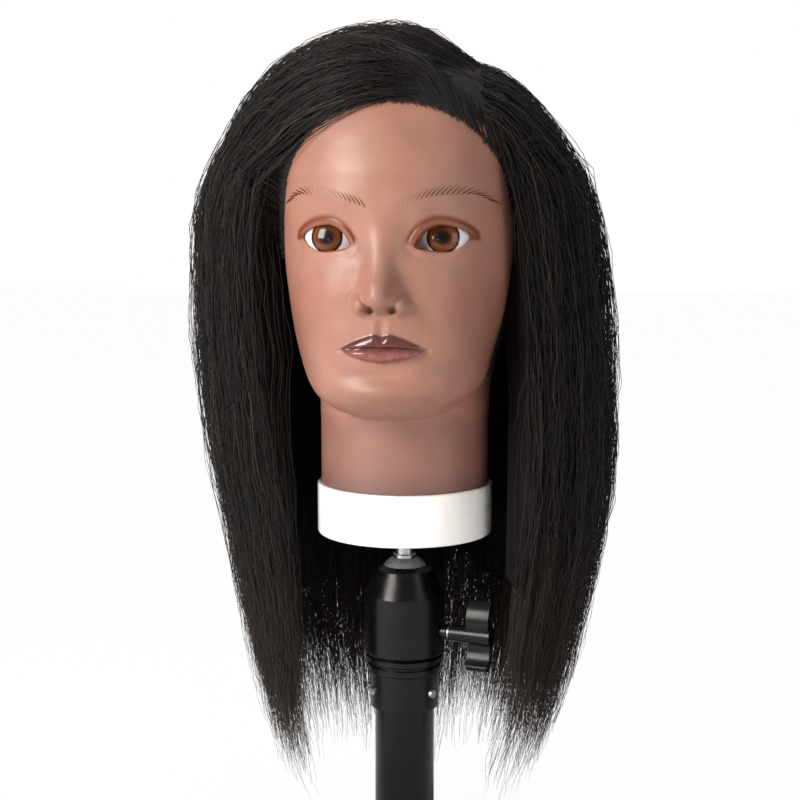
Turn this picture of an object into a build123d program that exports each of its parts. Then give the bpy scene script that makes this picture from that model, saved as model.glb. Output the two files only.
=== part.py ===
"""Mannequin training head on its ball-head holder, in millimetres.

+Z is up along the stand's column, the face looks towards -Y, and the origin is the centre of the
column tube's lower end. Every piece is written to parts/ as its own STEP file.
"""

import os
from math import atan, cos, degrees, radians, sin, sqrt

from build123d import *

# ---------------------------------------------------------------- column and collar
TUBE_D = 38.0  # outside diameter of the steel column tube
TUBE_WALL = 1.5
TUBE_EXPOSED = 86.0  # length below the collar
TUBE_IN_COLLAR = 20.0  # length of the necked end inside the collar
TUBE_NECKING = 0.5  # how much the necked end is smaller in radius

COLLAR_WALL = 2.75  # plastic around the exposed tube's radius
COLLAR_STEP_H = 22.5  # height of the plain sleeve below the ribs
RIB_LOW_H = 4.6
RIB_LOW_OUT = 1.7  # how far the lower rib stands out of the sleeve
RIB_GROOVE_H = 1.6
RIB_TOP_H = 5.8
RIB_TOP_OUT = 2.8
COLLAR_CAP = 3.0  # plastic above the tube's end
SPIGOT_H = 5.5  # the collar's spigot inside the barrel
COLLAR_SCREWS = 3
COLLAR_SCREW_R = 1.5
COLLAR_SCREW_HEAD_R = 2.9
COLLAR_SCREW_LENGTH = 7.0
COLLAR_SCREW_HEAD_H = 1.6
COLLAR_SCREW_DROP = 12.0  # from the sleeve's top down to the screws

# ---------------------------------------------------------------- ball housing
BARREL_GAP = 0.5  # shadow gap between the barrel and the top rib
BALL_R = 16.0
BARREL_BORE_R = BALL_R + 0.6
BARREL_R = BARREL_BORE_R + 9.1  # thick wall, threaded for the clamp's insert
CONE_H = 16.0
BALL_ABOVE_CONE = 9.0  # ball centre above the foot of the cone
OPENING_R = BALL_R * 0.831  # mouth that the ball shows through
CONE_TOP_R = OPENING_R + 5.1
LIP_ROUND = 1.2
SEAT_GAP = 0.15  # ball to its seats
SLIDE_GAP = 0.10  # pieces sliding in the barrel's bore
SPIGOT_GAP = 0.25

# ---------------------------------------------------------------- clamp: cup, wedge, screw and knob
CUP_FLOOR = 3.0  # under the ball
CUP_H = 12.5
WEDGE_ABOVE_SPIGOT = 1.85  # room for the wedge's travel above the collar's spigot
WEDGE_ROOF = 4.25  # wedge left above the highest point of its notch
CUP_ON_WEDGE_GAP = 0.1
SCREW_R = 4.0
SCREW_GAP = 0.06
SCREW_TRAVEL = 2.5  # outwards over the knob's two turns
THRUST_R = SCREW_R - 0.1
SCREW_HEADING = -14.0  # degrees from +X, seen from above
SCREW_ABOVE_BARREL_FOOT = 15.0
WEDGE_SLOPE = 0.5  # rise of the wedge face for each unit along the screw
THRUST_TIP_R = 1.5
THRUST_TIP_U = 3.0  # distances along the screw from the column's axis
THRUST_STUD_R = 1.6
THRUST_STUD_L = 2.2
THRUST_BODY_L = 5.0
WEDGE_GAP = 0.2
NOTCH_SIDE_GAP = 0.9
NOTCH_BELOW = SCREW_R + 2
INSERT_R = SCREW_R + 1.3
INSERT_NECK_R = SCREW_R + 0.75
INSERT_PROUD = 4.2  # neck of the threaded insert outside the barrel
HUB_START_U = BARREL_R + 5.7
HUB_END_U = HUB_START_U + 27.3
HUB_R = SCREW_R + 1.1
HUB_END_R = HUB_R + 1.1
HUB_ROUND = 1.0
WING_START_U = HUB_START_U + 11.6
WING_R = 23.0
WING_T = 4.6
WING_SWEEP = 5.0  # how far a wing's tip bends out of its plane
WING_ROUND = 1.4
SCREW_IN_HUB = 16.0

# ---------------------------------------------------------------- ball stud
STEM_R = 6.35
STEM_IN_HEAD = 62.0
STEM_CHAMFER = 1.0
STEM_IN_BALL = 9.0
SHOULDER_R = STEM_R + 1.05
SHOULDER_H = 2.4
STUD_ABOVE_OPENING = 22.3  # from the ball housing's mouth to the base cup's underside

# ---------------------------------------------------------------- head
NECK_R = 52.5
SKIN_WALL = 6.0
LAYER_GAP = 0.3  # between skin, core and hair
CUP_BASE_WALL = 2.2
CUP_BASE_R = NECK_R + LAYER_GAP + CUP_BASE_WALL  # the neck stands inside the cup's wall
CUP_BASE_H = 32.0
CUP_BASE_FLOOR = 3.0
CUP_BASE_ROUND = 1.6
CUP_LIP_ROUND = 0.8
SOCKET_R = STEM_R + 4.65
SOCKET_FLANGE_R = SOCKET_R + 3.5
SOCKET_TOP_WALL = 4.0
SOCKET_GAP = 0.08  # stem to socket, in radius
CORE_HOLE_GAP = 0.2
BASE_SCREWS = 4
BASE_SCREW_CIRCLE_R = 36.0
BASE_SCREW_R = 2.0
BASE_SCREW_HEAD_R = 4.0
BASE_SCREW_HEAD_H = 2.2
BASE_SCREW_LENGTH = 22.0
EYE_R = 19.0
EYE_APART = 63.0
EYE_UP = 185.0  # above the base cup's underside
EYE_FRONT_Y = -80.5
EYE_OPENING_OUT = 2.0  # the lids' opening is this much further out than the eye's centre
EYE_OPENING_W = 30.0
EYE_OPENING_H = 15.0
EYE_DEPTH = 12.0  # from the front of the eye to its flat back
NOSE_BACK_Y = -76.0

# level sections of the nose: height above the base cup's underside, half width, front y
NOSE_SECTIONS = [
    (149.0, 13.0, -102.0),
    (154.0, 15.5, -107.0),
    (160.0, 11.5, -110.0),
    (175.0, 7.5, -102.0),
    (194.0, 6.5, -93.0),
]

NECK_FOOT = 3.4  # above the base cup's underside

# horizontal sections of the head: height above the base cup's underside, half width, front y, back y
HEAD_SECTIONS = [
    (40.0, NECK_R, -NECK_R, NECK_R),
    (56.0, NECK_R, -NECK_R, NECK_R),
    (66.0, NECK_R, -NECK_R - 1, NECK_R + 1),
    (78.0, NECK_R + 0.5, -57.0, 57.0),
    (93.0, 53.0, -76.0, 64.0),
    (105.0, 56.0, -84.0, 69.0),
    (120.0, 61.0, -90.0, 74.0),
    (150.0, 68.5, -94.0, 86.0),
    (185.0, 73.0, -92.0, 96.0),
    (220.0, 75.5, -91.0, 100.0),
    (250.0, 73.0, -84.0, 97.0),
    (275.0, 62.0, -67.0, 83.0),
    (290.0, 44.0, -45.0, 61.0),
    (299.0, 20.0, -18.0, 32.0),
]

# ---------------------------------------------------------------- hair
# horizontal sections of the hair's outside: height above the base cup's underside, left x, right x,
# front y, back y. The left side carries the hair swept over from the parting.
HAIR_SECTIONS = [
    (-192.0, -72.0, 70.0, -32.0, 92.0),
    (-155.0, -86.0, 84.0, -38.0, 108.0),
    (-115.0, -98.0, 99.0, -42.0, 118.0),
    (-54.0, -112.0, 113.0, -48.0, 126.0),
    (5.0, -123.0, 125.0, -54.0, 130.0),
    (65.0, -134.0, 129.0, -60.0, 133.0),
    (123.0, -139.0, 127.0, -66.0, 136.0),
    (186.0, -137.0, 118.0, -76.0, 138.0),
    (236.0, -118.0, 102.0, -90.0, 130.0),
    (264.0, -102.0, 83.0, -88.0, 118.0),
    (287.0, -80.0, 60.0, -76.0, 96.0),
    (303.0, -52.0, 42.0, -52.0, 68.0),
    (313.0, -24.0, 22.0, -22.0, 36.0),
]
HAIR_INSIDE_GAP = 4.4  # free space between the hair and the knob at the end of its travel
HAIR_INSIDE_UP = 135.0
HAIRLINE_UP = 261.0
FACE_WINDOW_HALF_W = 70.0
FACE_WINDOW_Y = -14.0  # hair in front of this plane is cut back beside the face
FACE_WINDOW_LOW_HALF_W = 60.0
FACE_WINDOW_JAW_UP = 100.0
PARTING_X = 46.0  # the parting, on the head's own left
CROWN_UP = 195.0  # below this the hair is the side and back lengths
BACK_HALF_W = 58.0  # half width of the back length
ENDS_GAP = 0.4  # between the upper lengths and the free ends

# ---------------------------------------------------------------- heights and places worked out
tube_r = TUBE_D / 2
neck_r = tube_r - TUBE_NECKING
collar_r = tube_r + COLLAR_WALL
collar_foot_z = TUBE_EXPOSED
rib_low_z = collar_foot_z + COLLAR_STEP_H
groove_z = rib_low_z + RIB_LOW_H
rib_top_z = groove_z + RIB_GROOVE_H
collar_top_z = rib_top_z + RIB_TOP_H
tube_top_z = collar_foot_z + TUBE_IN_COLLAR
barrel_foot_z = collar_top_z + BARREL_GAP
screw_z = barrel_foot_z + SCREW_ABOVE_BARREL_FOOT
notch_end_u = BARREL_BORE_R + 1
notch_top_z = screw_z + THRUST_TIP_R + WEDGE_GAP + WEDGE_SLOPE * (notch_end_u - THRUST_TIP_U)
wedge_top_z = notch_top_z + WEDGE_ROOF
cup_foot_z = wedge_top_z + CUP_ON_WEDGE_GAP
seat_r = BALL_R + SEAT_GAP
ball_z = cup_foot_z + CUP_FLOOR + seat_r
cone_foot_z = ball_z - BALL_ABOVE_CONE
lip_z = cone_foot_z + CONE_H
mouth_z = ball_z + sqrt(seat_r**2 - OPENING_R**2)
spigot_r = BARREL_BORE_R - SPIGOT_GAP
spigot_top_z = collar_top_z + SPIGOT_H
slide_r = BARREL_BORE_R - SLIDE_GAP
wedge_foot_z = spigot_top_z + WEDGE_ABOVE_SPIGOT
head_z = mouth_z + STUD_ABOVE_OPENING
stem_top_z = head_z + STEM_IN_HEAD
eye_x = EYE_APART / 2
eye_z = head_z + EYE_UP
eye_y = EYE_FRONT_Y + EYE_R
opening_x = eye_x + EYE_OPENING_OUT
heading = radians(SCREW_HEADING)
hairline_z = head_z + HAIRLINE_UP
jaw_z = head_z + FACE_WINDOW_JAW_UP
crown_z = head_z + CROWN_UP
knob_reach = sqrt((HUB_END_U + SCREW_TRAVEL) ** 2 + (WING_SWEEP + WING_T / 2) ** 2)
hair_inside_r = max(knob_reach, CUP_BASE_R) + HAIR_INSIDE_GAP


def screw_plane(distance):
    """Plane across the clamp screw at a distance from the column's axis: its X is level, its Y is up."""
    outward = (cos(heading), sin(heading), 0)
    level = (-sin(heading), cos(heading), 0)
    place = (distance * outward[0], distance * outward[1], screw_z)
    return Plane(origin=place, x_dir=level, z_dir=outward)


def save(piece, name):
    """Label a finished piece and write it as its own STEP file."""
    piece.label = name
    export_step(piece, f"parts/{name}.step")


def section_loft(sections, lift, grow):
    """Smooth body through level ellipses: each is (height, left x, right x, front y, back y)."""
    with BuildPart() as body:
        for height, left, right, front, back in sections:
            with BuildSketch(Plane.XY.offset(height + lift)):
                with Locations(((left + right) / 2, (front + back) / 2)):
                    Ellipse((right - left) / 2 + grow, (back - front) / 2 + grow)
        loft()
    return body.part


def head_form(grow):
    """The head and neck, grown all round by a distance (negative for the inside)."""
    sections = [(z, -half, half, front, back) for z, half, front, back in HEAD_SECTIONS]
    top = sections[-1]
    sections[-1] = (top[0] + grow, *top[1:])
    with BuildPart() as form:
        with BuildSketch(Plane.XY.offset(head_z + NECK_FOOT)):
            Circle(NECK_R + grow)
        extrude(amount=HEAD_SECTIONS[0][0] - NECK_FOOT)
        add(section_loft(sections, head_z, grow))
    return form.part


os.makedirs("parts", exist_ok=True)

# ================================================================ column and collar
with BuildPart() as column_tube:
    Cylinder(tube_r, TUBE_EXPOSED, align=(Align.CENTER, Align.CENTER, Align.MIN))
    with BuildSketch(Plane.XY.offset(TUBE_EXPOSED)):
        Circle(neck_r)
    extrude(amount=TUBE_IN_COLLAR)
    with BuildSketch(Plane.XY):
        Circle(tube_r - TUBE_WALL - TUBE_NECKING)
    extrude(amount=tube_top_z, mode=Mode.SUBTRACT)
save(column_tube.part, "column_tube")

with BuildPart() as collar:
    with BuildSketch(Plane.XZ):
        with BuildLine():
            Polyline(
                (0, tube_top_z),
                (neck_r, tube_top_z),
                (neck_r, collar_foot_z),
                (collar_r, collar_foot_z),
                (collar_r, rib_low_z),
                (collar_r + RIB_LOW_OUT, rib_low_z + RIB_LOW_H / 4),
                (collar_r + RIB_LOW_OUT, groove_z),
                (collar_r + RIB_LOW_OUT - RIB_GROOVE_H, groove_z),
                (collar_r + RIB_LOW_OUT - RIB_GROOVE_H, rib_top_z),
                (collar_r + RIB_TOP_OUT, rib_top_z + RIB_TOP_H / 4),
                (collar_r + RIB_TOP_OUT, collar_top_z - RIB_TOP_H / 4),
                (collar_r + RIB_TOP_OUT - RIB_TOP_H / 4, collar_top_z),
                (spigot_r, collar_top_z),
                (spigot_r, spigot_top_z),
                (spigot_r - COLLAR_CAP, spigot_top_z),
                (spigot_r - COLLAR_CAP, tube_top_z + COLLAR_CAP),
                (0, tube_top_z + COLLAR_CAP),
                close=True,
            )
        make_face()
    revolve(axis=Axis.Z)

screw_level = rib_low_z - COLLAR_SCREW_DROP
with BuildPart() as collar_screws:
    for n in range(COLLAR_SCREWS):
        turn = 90 + n * 360 / COLLAR_SCREWS
        outward = (cos(radians(turn)), sin(radians(turn)), 0)
        head_face = Plane(
            origin=(collar_r * outward[0], collar_r * outward[1], screw_level),
            z_dir=outward,
        )
        with BuildSketch(head_face):
            Circle(COLLAR_SCREW_R)
        extrude(amount=-COLLAR_SCREW_LENGTH)
        with BuildSketch(head_face):
            Circle(COLLAR_SCREW_HEAD_R)
        extrude(amount=COLLAR_SCREW_HEAD_H, taper=12)
screw_shape = collar_screws.part
column_bored = column_tube.part - screw_shape
collar_bored = collar.part - screw_shape
save(column_bored, "column_tube")
save(collar_bored, "tube_collar")
save(screw_shape, "collar_screws")

# ================================================================ ball housing
with BuildPart() as housing:
    with BuildSketch(Plane.XZ):
        with BuildLine():
            Polyline(
                (0, barrel_foot_z),
                (BARREL_R - LIP_ROUND, barrel_foot_z),
                (BARREL_R, barrel_foot_z + LIP_ROUND),
                (BARREL_R, cone_foot_z),
                (CONE_TOP_R, lip_z),
                (OPENING_R + LIP_ROUND, mouth_z),
                (0, mouth_z),
                close=True,
            )
        make_face()
    revolve(axis=Axis.Z)
    fillet(housing.edges().filter_by(GeomType.CIRCLE).group_by(Axis.Z)[-2], LIP_ROUND)
    with BuildSketch(Plane.XY.offset(barrel_foot_z)):
        Circle(BARREL_BORE_R)
    extrude(amount=ball_z - barrel_foot_z, mode=Mode.SUBTRACT)
    with Locations((0, 0, ball_z)):
        Sphere(seat_r, mode=Mode.SUBTRACT)
    with BuildSketch(screw_plane(BARREL_R + 1)):
        Circle(INSERT_R)
    extrude(amount=-(BARREL_R + 1 - BARREL_BORE_R / 2), mode=Mode.SUBTRACT)
save(housing.part, "ball_housing")

with BuildPart() as screw_insert:
    with BuildSketch(screw_plane(BARREL_BORE_R + 0.6)):
        Circle(INSERT_R)
    extrude(amount=BARREL_R - BARREL_BORE_R - 1.2)
    with BuildSketch(screw_plane(BARREL_BORE_R + 0.6)):
        Circle(INSERT_NECK_R)
    extrude(amount=BARREL_R - BARREL_BORE_R - 0.6 + INSERT_PROUD)
    chamfer(screw_insert.faces().sort_by(lambda f: f.center().dot(screw_plane(1).z_dir))[-1].edges(), 0.5)
    with BuildSketch(screw_plane(0)):
        Circle(SCREW_R + SCREW_GAP)
    extrude(amount=BARREL_R * 2, mode=Mode.SUBTRACT)
save(screw_insert.part, "threaded_insert")

# ================================================================ clamp inside the housing
with BuildPart() as pressure_cup:
    with BuildSketch(Plane.XY.offset(cup_foot_z)):
        Circle(slide_r)
    extrude(amount=CUP_H)
    with Locations((0, 0, ball_z)):
        Sphere(seat_r, mode=Mode.SUBTRACT)
save(pressure_cup.part, "pressure_cup")

notch_half_w = THRUST_R + NOTCH_SIDE_GAP
ceiling_at_tip = THRUST_TIP_R + WEDGE_GAP
with BuildPart() as wedge:
    with BuildSketch(Plane.XY.offset(wedge_foot_z)):
        Circle(slide_r)
    extrude(amount=wedge_top_z - wedge_foot_z)
    chamfer(wedge.edges().group_by(Axis.Z)[0], 0.8)
    side = Plane(origin=(0, 0, screw_z), x_dir=screw_plane(0).z_dir, z_dir=-screw_plane(0).x_dir)
    with BuildSketch(side):
        with BuildLine():
            Polyline(
                (0, -NOTCH_BELOW),
                (notch_end_u, -NOTCH_BELOW),
                (notch_end_u, notch_top_z - screw_z),
                (0, ceiling_at_tip - WEDGE_SLOPE * THRUST_TIP_U),
                close=True,
            )
        make_face()
    extrude(amount=notch_half_w, both=True, mode=Mode.SUBTRACT)
save(wedge.part, "wedge_plunger")

cone_length = (THRUST_R - THRUST_TIP_R) / WEDGE_SLOPE
thrust_back_u = THRUST_TIP_U + cone_length + THRUST_BODY_L
with BuildPart() as thrust_tip:
    with BuildSketch(screw_plane(THRUST_TIP_U)):
        Circle(THRUST_TIP_R)
    extrude(amount=cone_length, taper=-degrees(atan(WEDGE_SLOPE)))
    with BuildSketch(screw_plane(THRUST_TIP_U + cone_length)):
        Circle(THRUST_R)
    extrude(amount=THRUST_BODY_L)
    with BuildSketch(screw_plane(thrust_back_u)):
        Circle(THRUST_STUD_R)
    extrude(amount=THRUST_STUD_L)
save(thrust_tip.part, "thrust_tip")

screw_start_u = thrust_back_u + 0.1
screw_end_u = HUB_START_U + SCREW_IN_HUB
with BuildPart() as clamp_screw:
    with BuildSketch(screw_plane(screw_start_u)):
        Circle(SCREW_R)
    extrude(amount=screw_end_u - screw_start_u)
    with BuildSketch(screw_plane(screw_start_u)):
        Circle(THRUST_STUD_R + 0.1)
    extrude(amount=THRUST_STUD_L + 0.3, mode=Mode.SUBTRACT)
save(clamp_screw.part, "clamp_screw")

hub_length = HUB_END_U - HUB_START_U
with BuildPart() as wing_knob:
    with BuildSketch(screw_plane(HUB_START_U)):
        Circle(HUB_R)
    with BuildSketch(screw_plane(HUB_END_U)):
        Circle(HUB_END_R)
    loft()
    with BuildSketch(screw_plane(WING_START_U)):
        with BuildLine():
            tip = (WING_SWEEP, WING_R - WING_T / 2)
            elbow = (-WING_SWEEP * 0.35, WING_R * 0.45)
            ThreePointArc((0, 0), elbow, tip)
            ThreePointArc((0, 0), (-elbow[0], -elbow[1]), (-tip[0], -tip[1]))
        trace(line_width=WING_T)
    extrude(amount=HUB_END_U - WING_START_U - HUB_ROUND)
    far_edges = wing_knob.edges().filter_by(
        lambda e: (Vector(0, 0, screw_z) - e.center()).length > WING_R * 0.55
        and abs((e.center() - Vector(0, 0, screw_z)).dot(screw_plane(0).y_dir)) > WING_R * 0.75
    )
    fillet(far_edges, WING_ROUND)
    with BuildSketch(screw_plane(HUB_START_U)):
        Circle(SCREW_R)
    extrude(amount=SCREW_IN_HUB, mode=Mode.SUBTRACT)
save(wing_knob.part, "wing_knob")

# ================================================================ ball and stem
flat_z = ball_z + sqrt(BALL_R**2 - SHOULDER_R**2)
with BuildPart() as ball:
    with Locations((0, 0, ball_z)):
        Sphere(BALL_R)
    split(bisect_by=Plane.XY.offset(flat_z), keep=Keep.BOTTOM)
    with BuildSketch(Plane.XY.offset(flat_z)):
        Circle(STEM_R)
    extrude(amount=-STEM_IN_BALL, mode=Mode.SUBTRACT)
save(ball.part, "ball")

with BuildPart() as stem:
    with BuildSketch(Plane.XY.offset(flat_z - STEM_IN_BALL)):
        Circle(STEM_R)
    extrude(amount=stem_top_z - flat_z + STEM_IN_BALL)
    chamfer(stem.edges().group_by(Axis.Z)[-1], STEM_CHAMFER)
save(stem.part, "mounting_stem")

with BuildPart() as stem_collar:
    with BuildSketch(Plane.XY.offset(flat_z)):
        Circle(SHOULDER_R)
    extrude(amount=SHOULDER_H)
    chamfer(stem_collar.edges().group_by(Axis.Z)[-1], 0.5)
    with BuildSketch(Plane.XY.offset(flat_z)):
        Circle(STEM_R)
    extrude(amount=SHOULDER_H, mode=Mode.SUBTRACT)
save(stem_collar.part, "stem_lock_ring")

# ================================================================ base cup, socket and screws
screw_spots = PolarLocations(BASE_SCREW_CIRCLE_R, BASE_SCREWS, start_angle=45)
with BuildPart() as base_cup:
    with BuildSketch(Plane.XY.offset(head_z)):
        Circle(CUP_BASE_R)
    extrude(amount=CUP_BASE_H)
    fillet(base_cup.edges().group_by(Axis.Z)[0], CUP_BASE_ROUND)
    fillet(base_cup.edges().group_by(Axis.Z)[-1], CUP_LIP_ROUND)
    with BuildSketch(Plane.XY.offset(head_z + CUP_BASE_FLOOR)):
        Circle(CUP_BASE_R - CUP_BASE_WALL)
    extrude(amount=CUP_BASE_H, mode=Mode.SUBTRACT)
    with BuildSketch(Plane.XY.offset(head_z)):
        Circle(SOCKET_FLANGE_R)
    extrude(amount=CUP_BASE_FLOOR, mode=Mode.SUBTRACT)
    with BuildSketch(Plane.XY.offset(head_z)):
        with screw_spots:
            Circle(BASE_SCREW_R)
    extrude(amount=CUP_BASE_FLOOR, mode=Mode.SUBTRACT)
    with BuildSketch(Plane.XY.offset(head_z)):
        with screw_spots:
            Circle(BASE_SCREW_HEAD_R)
    extrude(amount=BASE_SCREW_HEAD_H, taper=40, mode=Mode.SUBTRACT)
save(base_cup.part, "base_cup")

with BuildPart() as base_screws:
    with BuildSketch(Plane.XY.offset(head_z)):
        with screw_spots:
            Circle(BASE_SCREW_R)
    extrude(amount=BASE_SCREW_LENGTH)
    with BuildSketch(Plane.XY.offset(head_z)):
        with screw_spots:
            Circle(BASE_SCREW_HEAD_R)
    extrude(amount=BASE_SCREW_HEAD_H, taper=40)
save(base_screws.part, "base_screws")

socket_top_z = stem_top_z + SOCKET_TOP_WALL
with BuildPart() as stem_socket:
    with BuildSketch(Plane.XY.offset(head_z)):
        Circle(SOCKET_FLANGE_R)
    extrude(amount=CUP_BASE_FLOOR)
    with BuildSketch(Plane.XY.offset(head_z)):
        Circle(SOCKET_R)
    extrude(amount=socket_top_z - head_z)
    with BuildSketch(Plane.XY.offset(head_z)):
        Circle(STEM_R + SOCKET_GAP)
    extrude(amount=stem_top_z + 0.5 - head_z, mode=Mode.SUBTRACT)
save(stem_socket.part, "stem_socket")

# ================================================================ head skin, core and eyes
outer_form = head_form(0)
inner_form = head_form(-SKIN_WALL)
core_form = head_form(-SKIN_WALL - LAYER_GAP)
nose = section_loft([(z, -half, half, y, NOSE_BACK_Y) for z, half, y in NOSE_SECTIONS], head_z, 0)

with BuildPart() as eye_pockets:
    with Locations((-eye_x, eye_y, eye_z), (eye_x, eye_y, eye_z)):
        Sphere(EYE_R + LAYER_GAP)
with BuildPart() as core_pockets:
    with BuildSketch(Plane.XZ.offset(-EYE_FRONT_Y - EYE_DEPTH - LAYER_GAP)):
        with Locations((-eye_x, eye_z), (eye_x, eye_z)):
            Circle(EYE_R + LAYER_GAP)
    extrude(amount=EYE_R * 3)
with BuildPart() as eye_openings:
    with BuildSketch(Plane.XZ.offset(-eye_y)):
        with Locations((-opening_x, eye_z), (opening_x, eye_z)):
            Ellipse(EYE_OPENING_W / 2, EYE_OPENING_H / 2)
    extrude(amount=EYE_R * 2)

with BuildPart() as skin:
    add(outer_form)
    add(nose)
    add(inner_form, mode=Mode.SUBTRACT)
    add(eye_pockets.part, mode=Mode.SUBTRACT)
    add(eye_openings.part, mode=Mode.SUBTRACT)
save(skin.part, "head_skin")

with BuildPart() as core:
    add(core_form)
    with BuildSketch(Plane.XY.offset(head_z)):
        Circle(SOCKET_R + CORE_HOLE_GAP)
    extrude(amount=socket_top_z + CORE_HOLE_GAP - head_z, mode=Mode.SUBTRACT)
    with BuildSketch(Plane.XY.offset(head_z)):
        with screw_spots:
            Circle(BASE_SCREW_R)
    extrude(amount=BASE_SCREW_LENGTH, mode=Mode.SUBTRACT)
    add(core_pockets.part, mode=Mode.SUBTRACT)
save(core.part, "head_core")

for label, side_x in (("eye_left", eye_x), ("eye_right", -eye_x)):
    with BuildPart() as eye:
        with Locations((side_x, eye_y, eye_z)):
            Sphere(EYE_R)
        split(bisect_by=Plane.XZ.offset(-EYE_FRONT_Y - EYE_DEPTH), keep=Keep.TOP)
    save(eye.part, label)

# ================================================================ hair
scalp_form = head_form(LAYER_GAP)
with BuildPart() as face_window:
    with BuildSketch(Plane.XZ.offset(-FACE_WINDOW_Y)):
        with BuildLine():
            foot_z = head_z + HAIR_SECTIONS[0][0] - 20
            arch = hairline_z - FACE_WINDOW_HALF_W
            Polyline(
                (-FACE_WINDOW_HALF_W, arch),
                (-FACE_WINDOW_HALF_W, jaw_z),
                (-FACE_WINDOW_LOW_HALF_W, jaw_z - 40),
                (-FACE_WINDOW_LOW_HALF_W, foot_z),
                (FACE_WINDOW_LOW_HALF_W, foot_z),
                (FACE_WINDOW_LOW_HALF_W, jaw_z - 40),
                (FACE_WINDOW_HALF_W, jaw_z),
                (FACE_WINDOW_HALF_W, arch),
            )
            ThreePointArc((FACE_WINDOW_HALF_W, arch), (0, hairline_z), (-FACE_WINDOW_HALF_W, arch))
        make_face()
    extrude(amount=250)

with BuildPart() as holder_space:
    with BuildSketch(Plane.XY.offset(head_z + HAIR_SECTIONS[0][0] - 20)):
        Circle(hair_inside_r)
    extrude(amount=HAIR_INSIDE_UP - HAIR_SECTIONS[0][0] + 20)

hair_form = section_loft(HAIR_SECTIONS, head_z, 0)
hair = hair_form - scalp_form - face_window.part - holder_space.part


def block(left, right, low, high):
    """Full-depth box between two x planes and two heights."""
    size = (right - left, 600, high - low)
    place = ((left + right) / 2, 0, (low + high) / 2)
    return Pos(*place) * Box(*size)


ends_z = head_z + 4
far = 300
low_z = head_z + HAIR_SECTIONS[0][0] - 20
hair_pieces = {
    "hair_top_swept": block(-far, PARTING_X, crown_z, far * 2),
    "hair_top_parted": block(PARTING_X, far, crown_z, far * 2),
    "hair_side_right": block(-far, -BACK_HALF_W, ends_z, crown_z),
    "hair_back": block(-BACK_HALF_W, BACK_HALF_W, ends_z, crown_z),
    "hair_side_left": block(BACK_HALF_W, far, ends_z, crown_z),
    "hair_ends_right": block(-far, -BACK_HALF_W, low_z, ends_z - ENDS_GAP),
    "hair_ends_back": block(-BACK_HALF_W, BACK_HALF_W, low_z, ends_z - ENDS_GAP),
    "hair_ends_left": block(BACK_HALF_W, far, low_z, ends_z - ENDS_GAP),
}
for label, region in hair_pieces.items():
    save(hair & region, label)

print("ball centre z", round(ball_z, 3), "head z", round(head_z, 3), "screw z", round(screw_z, 3))
print("mouth z", round(mouth_z, 3), "stem top z", round(stem_top_z, 3), "ends z", round(ends_z, 3))
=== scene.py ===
"""Looks of a hairdresser's training head on its ball-head holder."""

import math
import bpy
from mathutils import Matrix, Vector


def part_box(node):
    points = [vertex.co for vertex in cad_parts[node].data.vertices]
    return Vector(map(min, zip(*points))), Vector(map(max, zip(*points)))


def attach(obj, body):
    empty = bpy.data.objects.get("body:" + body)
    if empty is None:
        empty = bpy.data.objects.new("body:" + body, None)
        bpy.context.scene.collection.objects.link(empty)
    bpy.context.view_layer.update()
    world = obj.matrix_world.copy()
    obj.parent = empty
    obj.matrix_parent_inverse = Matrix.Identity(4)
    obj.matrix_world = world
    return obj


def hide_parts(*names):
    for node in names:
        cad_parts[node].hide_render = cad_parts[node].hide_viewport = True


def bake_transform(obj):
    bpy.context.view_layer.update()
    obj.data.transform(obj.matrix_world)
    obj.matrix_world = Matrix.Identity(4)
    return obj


bl_info = {
    "name": "Training head",
    "version": (1, 0, 0),
    "blender": (4, 5, 0),
    "location": "3D View > Sidebar > Training head",
    "description": "Builds a mannequin training head with long parted hair on a ball-head holder",
    "category": "Object",
}

import bmesh
import bpy
import numpy as np

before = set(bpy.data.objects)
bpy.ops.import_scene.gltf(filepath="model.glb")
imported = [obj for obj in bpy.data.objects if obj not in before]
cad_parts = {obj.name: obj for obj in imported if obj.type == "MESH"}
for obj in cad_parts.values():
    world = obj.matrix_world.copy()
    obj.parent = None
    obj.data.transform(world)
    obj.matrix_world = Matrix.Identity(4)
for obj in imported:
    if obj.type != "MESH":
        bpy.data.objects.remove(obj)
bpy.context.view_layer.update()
MM = 0.001


# ------------------------------------------------------------------ small helpers
def linear(hex_colour):
    """sRGB hex to the linear colour a shader wants."""
    raw = [int(hex_colour.lstrip("#")[i : i + 2], 16) / 255 for i in (0, 2, 4)]
    return tuple(c / 12.92 if c <= 0.04045 else ((c + 0.055) / 1.055) ** 2.4 for c in raw) + (1.0,)


def fill(node, inputs):
    """Sets a node's inputs: a value directly, another node's output by a link."""
    for key, value in inputs.items():
        if isinstance(value, bpy.types.NodeSocket):
            node.id_data.links.new(value, node.inputs[key])
        else:
            node.inputs[key].default_value = value


def colour_stops(ramp, stops):
    """Gives a colour ramp its (place, sRGB hex) stops, two or more."""
    for k in (0, 1):
        ramp.elements[k].position, ramp.elements[k].color = stops[-k][0], linear(stops[-k][1])
    for place, tint in stops[1:-1]:
        ramp.elements.new(place).color = linear(tint)


def add(tree, kind, inputs=None, out=0, stops=None, **settings):
    """Adds one node, sets it up, and gives the output that the next node takes."""
    made = tree.nodes.new(kind)
    for name, value in settings.items():
        setattr(made, name, value)
    if stops:
        colour_stops(made.color_ramp, stops)
    fill(made, inputs or {})
    return made.outputs[out] if made.outputs else made


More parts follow.
